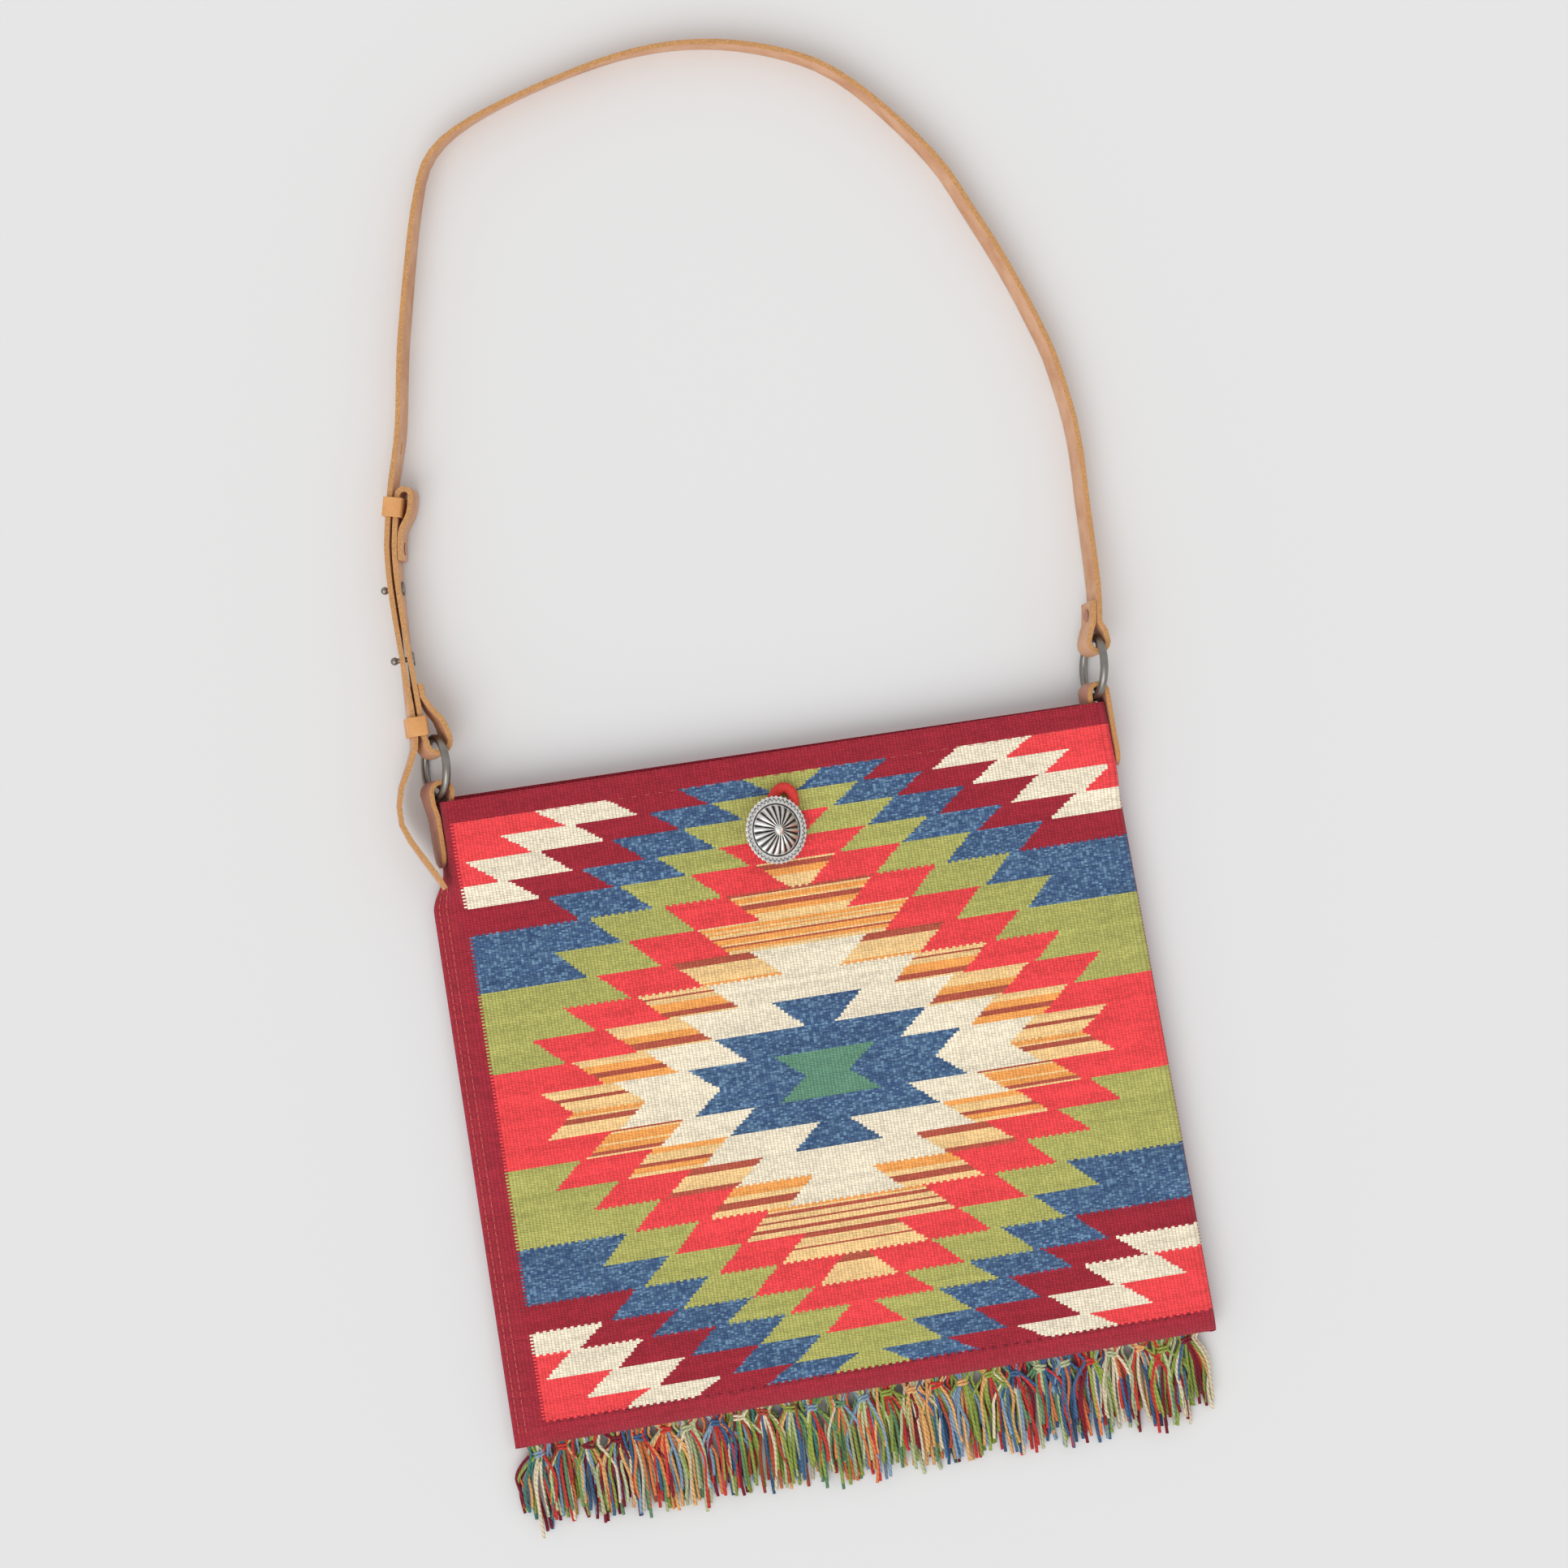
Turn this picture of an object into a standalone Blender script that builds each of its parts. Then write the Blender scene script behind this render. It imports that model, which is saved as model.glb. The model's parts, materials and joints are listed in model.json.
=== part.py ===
"""Woven crossbody bag with a leather strap, lying on its back with the strap laid out above it.

Units are metres in Blender. Sizes below are millimetres and pass through mm().
+X runs across the bag, +Y towards its mouth and strap, and +Z out of its front.
The origin is on the resting surface, under the middle of the back panel.
"""

import math
from itertools import accumulate

import bmesh
import bpy
from mathutils import Vector

# Bag
BAG_TOP_WIDTH = 332.0
BAG_BOTTOM_WIDTH = 350.0
BAG_HEIGHT = 318.0
BAG_DEPTH = 17.0
CORNER_DEPTH = 23.4
CLOTH = 2.6
SEAM_HEIGHT = 4.6
SEAM_GAP = 0.3
TOP_HEM = 11.0
BOTTOM_HEM = 12.2
BOTTOM_ROLL = 16.0
BOTTOM_SLOPE = 0.0176
BACK_RISE = 1.3
CORNER_SPREAD = 26.0
TAB_REACH = 33.0
BELOW_TAB = 20.0
SIDE_BULGE = 7.6
RIM = SEAM_HEIGHT + CLOTH

# Offsets and heights across each side of the front, beside the leather tabs and below them
LEFT_TABBED = ((0, RIM), (1.9, 12), (3.9, 16.9), (5.3, 20.4), (8.2, CORNER_DEPTH))
LEFT_OPEN = ((0, RIM), (4, 10.2), (8, 12.6), (12, 14.8), (16, 16.2))
RIGHT_TABBED = ((-3.0, RIM), (-1.9, 12), (-0.8, 16.9), (0, 20), (-4.5, CORNER_DEPTH))
RIGHT_OPEN = ((-3.2, RIM), (-0.9, 9.6), (0, 12.6), (-1.3, 15.4), (-5.0, 17.2))

# Weave
PATTERN_SHIFT = 3.9
# Half widths at which the fields may end on a band's wide line, from the middle outwards
COLUMNS = (20.0, 36.5, 52.5, 68.0, 87.5, 105.0, 123.5, 141.0, 159.5)
# The band, counted from the middle one, from which each ring ends before the side
RING_STARTS = (0, 0, 0, 0, 2, 5, 7, 8, 9)
# Half widths of the last field of the three inner rings
RING_TIPS = (25.4, 22.1, 29.0)
FIELD_SLANT = 14.6
BANDS_ABOVE = (11.7, 12.7, 13.3, 13.6, 12.8, 14.7, 14.0, 13.1, 11.2, 11.6, 10.4, 9.4)
BANDS_BELOW = (11.5, 12.0, 12.7, 12.1, 13.6, 14.1, 13.1, 13.6, 11.1, 12.4, 11.7, 8.4)

# Leather
STRAP_WIDTH = 16.0
STRAP_THICK = 2.5
STRAP_GAP = 1.2
FOLD_GAP = 0.3
TAB_WIDTH = 14.5
TAB_THICK = 2.4
TAB_TIP = 9.0
KEEPER_LENGTH = 9.6
KEEPER_WALL = 1.4
KEEPER_CLEAR = 0.35
TOUCH = 0.3

# Metal
RING_WIRE = 4.0
RING_MIDDLE = 29.2
STUD_BALL = 4.0
STUD_POST = 2.6
STUD_BASE = 7.0
STUD_BASE_THICK = 0.9
HOLE_CLEAR = 0.3
RIVET_POST = 2.4
RIVET_HEAD = 6.4
RIVET_HEAD_THICK = 0.4
SLIT_LENGTH = 6.0
SLIT_WIDTH = 2.0

# Concho
CONCHO_SIZE = 33.0
CONCHO_RIM_THICK = 1.0
CONCHO_DOME = 25.0
CONCHO_RISE = 3.6
CONCHO_PETALS = 20
CONCHO_SCALLOPS = 40
CONCHO_TILT = 27.0
SHANK_HEIGHT = 9.4
SHANK_SIZE = 3.0
SHANK_FOOT = 4.0
CONCHO_X = -3.0
CONCHO_DROP = 38.0
LOOP_CORD = 4.2
CONCHO_Y = BAG_HEIGHT / 2 - CONCHO_DROP

# X and Y of the cord loop's middle line from the concho's middle, once round
LOOP_ROUTE = (
    (-2.6, 11.6), (1.4, 17.0), (5.0, 19.7), (8.4, 18.9), (10.2, 15.4), (9.8, 10.2), (7.2, 3.6),
    (2.2, -3.4), (-3.8, -7.4), (-10.2, -6.4), (-12.2, -0.4), (-8.6, 6.0),
)
CORD_SIDES = 6

# Fringe
TASSEL_COUNT = 27
TASSEL_LENGTH = 44.0
TASSEL_DEPTH = 7.6
TASSEL_KNOT = 6.4
TASSEL_STRANDS = 5
TASSEL_SIDE_GAP = 0.8

# Route of the straps: Y is a rise above the mouth
REST = STRAP_WIDTH / 2 + 0.05

MOUTH_Y = BAG_HEIGHT / 2
ARCH_RISE = 171.0
SIDE_RISE = 231.0

# From the right ring to the tail: share of the way from the middle line to the mouth's corner and X from
# there, Y above the mouth, height of the strap's middle, and outward lean in degrees
STRAP_ROUTE = (
    (1, 3.3, 66, REST + 4, 13), (1, 4, 83, REST + 1, 12), (1, 4.4, 103, REST, 12), (1, 5, 122, REST, 12),
    (1, 4.2, 140, REST, 12), (1, 2, 156, REST, 12), (1, -1, 173, REST, 12), (1, -6.4, 191, REST, 12),
    (1, -13.4, 211, REST, 11), (1, -21.4, 231, REST, 11), (1, -30.4, 251, REST, 10), (1, -39, 270, REST, 9),
    (0.967, -44.5, 287, REST, 7), (0.858, -39.4, 303.5, REST, 5), (0.742, -34.2, 319, REST, 3),
    (0.608, -27.9, 332, REST, 2), (0.433, -19.9, 342, REST, 0), (0.233, -10.7, 349, REST, -2),
    (0.017, -0.8, 352, REST, -4), (-0.2, 9.2, 350.5, REST, -6), (-0.417, 19.2, 345.5, REST, -8),
    (-0.633, 29.1, 338.5, REST, -8), (-0.825, 37.9, 330.5, REST, -6), (-0.958, 44, 322, REST, -2),
    (-1, 41, 311.5, REST, 1), (-1, 35.4, 298, REST, 3), (-1, 30.5, 282, REST, 5), (-1, 25.6, 263, REST, 6),
    (-1, 20.8, 243, REST, 7), (-1, 16.2, 223, REST, 7), (-1, 12.8, 204, REST, 7), (-1, 9.6, 186, REST, 7),
    (-1, 5.6, 171, REST + 0.6, 6), (-1, 1.8, 158, REST + 2, 5), (-1, -0.4, 149, REST + 2.2, 4),
    (-1, -2.6, 140, REST + 2.2, 3), (-1, -4.8, 129, REST + 2.2, 2.5), (-1, -6, 115, REST + 2.5, 2),
    (-1, -6.5, 99, REST + 3, 0), (-1, -6.6, 83, REST + 3.6, -3), (-1, -6.6, 69, REST + 4.4, -7),
    (-1, -6.6, 55, REST + 5, -11), (-1, -6.6, 48, REST + 5.2, -13), (-1, -6.6, 41, REST + 5.2, -13),
    (-1, -6.6, 34, REST + 5.2, -13), (-1, -7.4, 28, REST + 5.2, -12), (-1, -11.4, 19.5, REST + 5.4, -11),
    (-1, -16.4, 10, REST + 5.8, -9), (-1, -18.8, 1, REST + 6.3, -8), (-1, -18.8, -8, REST + 7, -8),
    (-1, -15.4, -17, REST + 8, -9), (-1, -10.2, -26.5, REST + 9.4, -10), (-1, -5.4, -35, REST + 10.8, -10),
    (-1, -1.8, -42.2, REST + 11.6, -10),
)
STRAP_SPACING = 9.0
TIP_TAPER = 12.0

# Each ring: its middle, the turn of its level direction towards the strap, its lean, the lean of the
# strap's fold as a level shift for each unit of height, and the hollow and slack of strap and tab folds
RINGS = {
    "left": {"middle": (-1, 2.0, 17.1, 15.2), "turn": 5.5, "lean": 27.0, "strap_lean": (0.40, 0.10),
             "hollow": 4.6, "slack": 5.0, "tab_hollow": 3.9, "tab_slack": 4.0},
    "right": {"middle": (1, -3.2, 17.1, 16.4), "turn": 8.6, "lean": 15.0, "strap_lean": (0.23, 0.06),
              "hollow": 3.4, "slack": 4.0, "tab_hollow": 3.1, "tab_slack": 3.2},
}

# Places on the doubled strap, as rises above the mouth
STUDS = {"upper": 107.1, "lower": 72.0}
SLIT_RISE = 176.0
TOP_FOLD = 153.2
TOP_HOLLOW = 4.1
TOP_STUB_END = 120.8
TOP_STUB_JOIN = 134.0
TOP_STUB_FREE = 147.0
TOP_RIVET = 127.0
RING_STUB_END = 59.0
RING_STUB_JOIN = 52.5
RING_RIVET = 55.6
LEG_LOW = 34.0
PAIR = STRAP_THICK + STRAP_GAP
FOLDED = STRAP_THICK + FOLD_GAP
KEEPER_UPPER = 147.2
KEEPER_LOWER = 38.4
FOLD_LEG = 17.5
MAIN_SHIFT = 0.55
RIGHT_RIVET_REACH = 11.0

# Places of the tabs' legs: X from the side's outermost line, Y from the mouth, and height
TAB_LEGS = {
    "left": {"inner": ((6.7, -29, 12.0), (6.7, -18, 12.0), (6.7, -7, 12.2), (7.7, -1, 13.2)),
             "outer": ((-1.0, -0.5, 13.9), (0.2, -7, 13.0), (0.3, -17, 12.8), (0.3, -23, 12.8),
                       (0.3, -26.4, 12.8), (0.3, -29.6, 12.8), (0.3, -32, 12.8)),
             "lean": 0.404, "fold_lean": 0.48, "start": 0},
    "right": {"inner": ((-6.5, -29, 11.2), (-6.5, -18, 11.2), (-6.7, -8, 11.3), (-8.3, -1.5, 12.4)),
              "outer": ((0.5, -0.5, 14.2), (0.4, -7, 13.2), (0.4, -17, 13.0), (0.45, -23, 13.0),
                        (0.45, -26.4, 13.0), (0.45, -29.6, 13.0), (0.5, -32, 13.0)),
              "lean": 0.23, "fold_lean": 0.262, "start": 180},
}

COLOURS = {
    "maroon": (0.27, 0.019, 0.037),
    "red": (0.70, 0.035, 0.040),
    "cream": (0.76, 0.65, 0.42),
    "blue": (0.033, 0.085, 0.20),
    "green": (0.31, 0.38, 0.063),
    "orange": (0.86, 0.42, 0.14),
    "teal": (0.045, 0.19, 0.095),
    "leather": (0.60, 0.31, 0.17),
    "leather_dark": (0.46, 0.21, 0.13),
    "keeper": (0.74, 0.35, 0.12),
    "nickel": (0.30, 0.28, 0.25),
    "silver": (0.48, 0.47, 0.45),
    "cord_red": (0.66, 0.030, 0.030),
}
METALS = {"nickel": 0.34, "silver": 0.30}
RING_COLOURS = ("teal", "blue", "cream", "orange", "red", "green", "blue", "maroon", "cream", "red")
TASSEL_COLOURS = ("red", "green", "blue", "orange", "maroon", "cream", "green", "red", "blue", "teal")


def mm(*values):
    """Millimetres to metres, as a number or a vector."""
    if len(values) == 1:
        return values[0] / 1000
    return Vector(value / 1000 for value in values)


def clear_scene():
    for item in list(bpy.data.objects):
        bpy.data.objects.remove(item, do_unlink=True)


def material(name):
    """A Principled material in one of the bag's colours."""
    made = bpy.data.materials.get(name) or bpy.data.materials.new(name)
    made.use_nodes = True
    shader = made.node_tree.nodes["Principled BSDF"]
    shader.inputs["Base Color"].default_value = (*COLOURS[name], 1)
    shader.inputs["Metallic"].default_value = 1.0 if name in METALS else 0.0
    shader.inputs["Roughness"].default_value = METALS.get(name, 0.8)
    made.diffuse_color = (*COLOURS[name], 1)
    return made


def piece(name, points, faces, colours, face_colours=None, smooth=None, parent=None):
    """One named object from points in millimetres and faces, with its closed mesh facing outwards."""
    mesh = bpy.data.meshes.new(name)
    mesh.from_pydata([mm(*point) for point in points], [], faces)
    for colour in colours:
        mesh.materials.append(material(colour))
    if face_colours:
        for face, colour in zip(mesh.polygons, face_colours):
            face.material_index = colours.index(colour)
    shape = bmesh.new()
    shape.from_mesh(mesh)
    bmesh.ops.recalc_face_normals(shape, faces=shape.faces)
    if shape.calc_volume(signed=True) < 0:
        bmesh.ops.reverse_faces(shape, faces=shape.faces)
    shape.to_mesh(mesh)
    shape.free()
    if smooth:
        mesh.shade_smooth()
        mesh.set_sharp_from_angle(angle=math.radians(smooth))
    made = bpy.data.objects.new(name, mesh)
    bpy.context.scene.collection.objects.link(made)
    made.parent = parent
    return made


def loft(sections):
    """Points and faces of a closed solid through a row of like sections, capped at both ends."""
    count = len(sections[0])
    points = [point for section in sections for point in section]
    faces = [tuple(range(count))]
    for row in range(len(sections) - 1):
        for i in range(count):
            j = (i + 1) % count
            faces.append((row * count + i, row * count + j, (row + 1) * count + j, (row + 1) * count + i))
    last = (len(sections) - 1) * count
    faces.append(tuple(last + i for i in range(count)))
    return points, faces


def blend(low, high, part):
    return low + (high - low) * part


def smooth_step(value):
    value = min(max(value, 0.0), 1.0)
    return value * value * (3 - 2 * value)


# The bag's outline

def height_y(v):
    """Y at a share v of the height, on the middle line."""
    return (v - 0.5) * BAG_HEIGHT


def share(y):
    return y / BAG_HEIGHT + 0.5


def surface_y(x, v):
    """Y at a share of the height, with the bottom edge's slight slope."""
    return height_y(v) + BOTTOM_SLOPE * x * (1 - v)


def below_tab(v):
    """0 beside the leather tabs, 1 further down, where the side spreads."""
    drop = BAG_HEIGHT / 2 - TAB_REACH - height_y(v)
    return smooth_step(drop / BELOW_TAB)


def left_edge(v):
    """X of the left seam: it bulges below the tab."""
    straight = -blend(BAG_BOTTOM_WIDTH, BAG_TOP_WIDTH, v) / 2
    upright = -BAG_TOP_WIDTH / 2 - 2.9
    return blend(upright, min(straight - 0.6, upright - SIDE_BULGE), below_tab(v))


def right_edge(v):
    """X of the right side's outermost line."""
    return blend(BAG_BOTTOM_WIDTH, BAG_TOP_WIDTH, v) / 2 - 0.8


def bottom_roll(v):
    """0 at the bottom edge, 1 where the front has risen to its full depth."""
    return math.sqrt(1 - (1 - min(v * BAG_HEIGHT / BOTTOM_ROLL, 1)) ** 2)


def side_profile(v, tabbed, open_side):
    """Offsets and heights across one side of the front, from its seam to its shoulder."""
    down = below_tab(v)
    found = []
    for (a, high), (b, low) in zip(tabbed, open_side):
        found.append((blend(a, b, down), RIM + (blend(high, low, down) - RIM) * bottom_roll(v)))
    return found


def left_profile(v):
    return [(left_edge(v) + a, z) for a, z in side_profile(v, LEFT_TABBED, LEFT_OPEN)]


def right_profile(v):
    return [(right_edge(v) + a, z) for a, z in side_profile(v, RIGHT_TABBED, RIGHT_OPEN)]


def front_height(x, v):
    """Height of the front's outer face between its shoulders: it sags between stiff corners."""
    left_x, left_z = left_profile(v)[-1]
    right_x, right_z = right_profile(v)[-1]
    wave = 0.5 * math.sin(x / 47.0 + 0.6) * math.cos(height_y(v) / 61.0)
    middle = RIM + (BAG_DEPTH + wave - RIM) * bottom_roll(v)
    left = (left_z - middle) * math.exp(-max(x - left_x, 0) / CORNER_SPREAD)
    right = (right_z - middle) * math.exp(-max(right_x - x, 0) / CORNER_SPREAD)
    return middle + left + right


def front_point(x, v):
    return (x, surface_y(x, v), front_height(x, v))


# The weave

def ring_edges(rank, inner):
    """Half widths of the rings on a band's wide or narrow line, past the side where a ring doesn't end."""
    edges = []
    for ring, first in enumerate(RING_STARTS):
        column = 2 * ring + 1 - rank
        edge = BAG_BOTTOM_WIDTH
        if rank >= first:
            edge = COLUMNS[column] if column >= 0 else 0
        if ring < len(RING_TIPS) and column < 2:
            edge = RING_TIPS[ring] if column == 1 else 0
        edges.append(edge - (FIELD_SLANT if inner else 0))
    return edges


def field_breaks(rank, inner, v):
    """X of every change of colour along one line of a band, from left to right."""
    halves = [max(edge, 0) for edge in ring_edges(rank, inner)]
    low = left_profile(v)[-1][0]
    high = right_profile(v)[-1][0]
    breaks = [PATTERN_SHIFT - half for half in reversed(halves)] + [PATTERN_SHIFT + half for half in halves]
    return [low if x < low + 0.3 else high if x > high - 0.3 else x for x in breaks]


def band_lines():
    """Lines between the bands from the bottom up, each band with its rank and its outer line."""
    beat = (BAG_HEIGHT - TOP_HEM - BOTTOM_HEM) / (sum(BANDS_ABOVE) + sum(BANDS_BELOW))
    above = [height_y(1) - TOP_HEM - beat * sum(BANDS_ABOVE[i:]) for i in range(len(BANDS_ABOVE) + 1)]
    centre = above[0]
    below = [centre - beat * sum(BANDS_BELOW[:i]) for i in range(1, len(BANDS_BELOW) + 1)]
    lines = list(reversed(below)) + above
    ranks = [(i, "low") for i in reversed(range(len(BANDS_BELOW)))]
    ranks += [(i, "high") for i in range(len(BANDS_ABOVE))]
    return lines, ranks


def strip_faces(low, high):
    """Triangles between two rows of (x, index) points."""
    faces = []
    i = j = 0
    while i < len(low) - 1 or j < len(high) - 1:
        step_low = j == len(high) - 1 or (i < len(low) - 1 and low[i + 1][0] <= high[j + 1][0])
        if step_low:
            faces.append((low[i][1], low[i + 1][1], high[j][1]))
            i += 1
        else:
            faces.append((low[i][1], high[j + 1][1], high[j][1]))
            j += 1
    return faces


def between(row, low, high):
    """The part of a row of (x, index) points that lies between two X values."""
    return [item for item in row if low - 1e-6 <= item[0] <= high + 1e-6]


# The panels

def normal_at(points, row, column, rows):
    """Outward normal of the front's outer face at one point of its grid."""
    here = points[row]
    across = Vector(here[min(column + 1, len(here) - 1)]) - Vector(here[max(column - 1, 0)])
    upper = points[min(row + 1, rows - 1)][column]
    lower = points[max(row - 1, 0)][column]
    return across.cross(Vector(upper) - Vector(lower)).normalized()


def front_rows():
    """Shares of the height at which the front has a line of points, and which of them part the weave."""
    lines, ranks = band_lines()
    seam_side = [share(height_y(0) + y) for y in (0, 1.6, 4.8)]
    return seam_side, [share(y) for y in lines], ranks


def lining_columns(v, count):
    """Points across one line of the front's outer face that its inner face follows."""
    left = [(x, surface_y(x, v), z) for x, z in left_profile(v)]
    right = [(x, surface_y(x, v), z) for x, z in reversed(right_profile(v))]
    low, high = left[-1][0], right[0][0]
    middle = [front_point(blend(low, high, i / (count + 1)), v) for i in range(1, count + 1)]
    return left + middle + right


def front_panel():
    """The front: one woven panel whose sides turn down to the seam, its weave in fields of colour."""
    plain, woven, ranks = front_rows()
    heights = plain + woven + [1.0]
    points = []
    faces = []
    colours = []
    first_band = len(plain)
    outer = []
    for row, v in enumerate(heights):
        low = left_profile(v)
        high = list(reversed(right_profile(v)))
        xs = {round(blend(low[-1][0], high[0][0], i / 6), 4) for i in range(1, 6)}
        for band, inner in bands_at(row - first_band, ranks):
            xs.update(round(x, 4) for x in field_breaks(band, inner, v))
        inside = sorted(x for x in xs if low[-1][0] + 0.05 < x < high[0][0] - 0.05)
        line = [(x, surface_y(x, v), z) for x, z in low]
        line += [front_point(x, v) for x in inside]
        line += [(x, surface_y(x, v), z) for x, z in high]
        outer.append((line, list(range(len(points), len(points) + len(line)))))
        points += line
    for row in range(len(heights) - 1):
        band = row - first_band
        weave_row(outer[row], outer[row + 1], band, ranks, heights[row:row + 2], faces, colours)
    inner = lining(points, heights)
    close_panel(outer, inner, faces, colours)
    order = ["maroon"] + sorted(set(RING_COLOURS) - {"maroon"})
    return piece("front_panel", points, faces, order, colours, smooth=40)


def bands_at(line, ranks):
    """The (rank, inner line) of the bands that meet at a line between them."""
    found = []
    if 0 < line <= len(ranks):
        rank, side = ranks[line - 1]
        found.append((rank, side == "low"))
    if 0 <= line < len(ranks):
        rank, side = ranks[line]
        found.append((rank, side == "high"))
    return found


def profile_faces(low, high, left, steps, faces):
    """Faces of the side between two lines, over the profile's own points."""
    for i in range(steps):
        a, b = (i, i + 1) if left else (len(low) - 1 - i - 1, len(low) - 1 - i)
        c, d = (i, i + 1) if left else (len(high) - 1 - i - 1, len(high) - 1 - i)
        faces.append((low[a], low[b], high[d]))
        faces.append((low[a], high[d], high[c]))


def weave_row(low, high, band, ranks, shares, faces, colours):
    """Faces between two lines of the front, parted into the band's fields of colour."""
    steps = len(LEFT_OPEN) - 1
    start = len(faces)
    profile_faces(low[1], high[1], True, steps, faces)
    colours += ["maroon"] * (len(faces) - start)
    inside = slice(steps, -steps)
    low_row = [(point[0], index) for point, index in zip(*low)][inside]
    high_row = [(point[0], index) for point, index in zip(*high)][inside]
    edge_colour = "maroon"
    if 0 <= band < len(ranks):
        rank, side = ranks[band]
        low_breaks = field_breaks(rank, side == "high", shares[0])
        high_breaks = field_breaks(rank, side == "low", shares[1])
        low_breaks = [low_row[0][0]] + low_breaks + [low_row[-1][0]]
        high_breaks = [high_row[0][0]] + high_breaks + [high_row[-1][0]]
        order = list(reversed(RING_COLOURS)) + list(RING_COLOURS[1:])
        for i, colour in enumerate(order):
            lows = between(low_row, low_breaks[i] - 1e-3, low_breaks[i + 1] + 1e-3)
            highs = between(high_row, high_breaks[i] - 1e-3, high_breaks[i + 1] + 1e-3)
            found = strip_faces(lows, highs)
            if found:
                edge_colour = colour
            faces += found
            colours += [colour] * len(found)
    else:
        found = strip_faces(low_row, high_row)
        faces += found
        colours += ["maroon"] * len(found)
    start = len(faces)
    profile_faces(low[1], high[1], False, steps, faces)
    rolled = [edge_colour if i >= 4 else "maroon" for i in range(len(faces) - start)]
    colours += rolled


def lining(points, heights):
    """The front's inner face, a cloth's thickness inside the outer one."""
    grid = [lining_columns(v, 5) for v in heights]
    rows = []
    for row, line in enumerate(grid):
        found = []
        for column, point in enumerate(line):
            inward = normal_at(grid, row, column, len(grid)) * CLOTH
            place = Vector(point) - inward
            if row == 0 or column in (0, len(line) - 1):
                place = Vector((point[0], point[1], point[2] - CLOTH))
            place.y = min(place.y, point[1]) if row == len(grid) - 1 else place.y
            found.append(tuple(place))
        rows.append((found, list(range(len(points), len(points) + len(found)))))
        points += found
    return rows


def close_panel(outer, inner, faces, colours):
    """The inner face and the four edges that join it to the outer one."""
    start = len(faces)
    for low, high in zip(inner, inner[1:]):
        for i in range(len(low[1]) - 1):
            faces.append((low[1][i], high[1][i], high[1][i + 1]))
            faces.append((low[1][i], high[1][i + 1], low[1][i + 1]))
    for side in (0, -1):
        for row in range(len(outer) - 1):
            a, b = outer[row][1][side], outer[row + 1][1][side]
            c, d = inner[row][1][side], inner[row + 1][1][side]
            faces.append((a, b, d))
            faces.append((a, d, c))
    for row in (0, -1):
        steps = len(LEFT_OPEN) - 1
        out_row = outer[row][1]
        in_row = inner[row][1]
        for i in range(steps):
            faces.append((out_row[i], out_row[i + 1], in_row[i + 1]))
            faces.append((out_row[i], in_row[i + 1], in_row[i]))
            a, b = len(out_row) - 2 - i, len(in_row) - 2 - i
            faces.append((out_row[a], out_row[a + 1], in_row[b + 1]))
            faces.append((out_row[a], in_row[b + 1], in_row[b]))
        outs = [(point[0], index) for point, index in zip(*outer[row])][steps:-steps]
        ins = [(outer_x, index) for outer_x, index in middle_places(outer[row], inner[row], steps)]
        faces += strip_faces(outs, ins)
    colours += ["maroon"] * (len(faces) - start)


def middle_places(outer_row, inner_row, steps):
    """The inner line's middle points, each with its share of the outer line's span."""
    low, high = outer_row[0][steps][0], outer_row[0][-steps - 1][0]
    indices = inner_row[1][steps:-steps]
    return [(blend(low, high, i / (len(indices) - 1)), index) for i, index in enumerate(indices)]


def back_height(x, v):
    """Height of the back's outer face, which curls up to the seams."""
    low, high = left_edge(v), right_profile(v)[0][0]
    to_seam = min(x - low, high - x, v * BAG_HEIGHT)
    return (SEAM_HEIGHT - SEAM_GAP - CLOTH) * (1 - smooth_step(to_seam / 9.0))


def back_panel():
    """The back: one plain woven panel that lies flat, its edges turned up to the seams."""
    shares = (0, 0.015, 0.03, 0.2, 0.4, 0.6, 0.7, 0.8, 0.85, 0.9, 1.0)
    insets = (0, 4, 9)
    points = []
    rows = []
    for lift in (0, CLOTH):
        for v in shares:
            low, high = left_edge(v), right_profile(v)[0][0]
            xs = [low + inset for inset in insets] + [blend(low, high, i / 7) for i in range(1, 7)]
            xs += [high - inset for inset in reversed(insets)]
            rise = BACK_RISE if v == 1.0 else 0.0
            line = [(x, surface_y(x, v) + rise * (1 - x / BAG_TOP_WIDTH), back_height(x, v) + lift)
                    for x in xs]
            rows.append(list(range(len(points), len(points) + len(line))))
            points += line
    faces = []
    count = len(shares)
    width = len(rows[0])
    for base in (0, count):
        for low, high in zip(rows[base:base + count], rows[base + 1:base + count]):
            for i in range(width - 1):
                faces.append((low[i], low[i + 1], high[i + 1], high[i]))
    for i in range(width - 1):
        for row in (0, count - 1):
            faces.append((rows[row][i], rows[row][i + 1], rows[row + count][i + 1], rows[row + count][i]))
    for row in range(count - 1):
        for i in (0, width - 1):
            faces.append((rows[row][i], rows[row + 1][i], rows[row + 1 + count][i], rows[row + count][i]))
    return piece("back_panel", points, faces, ["maroon"], smooth=40)


# Fringe

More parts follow.
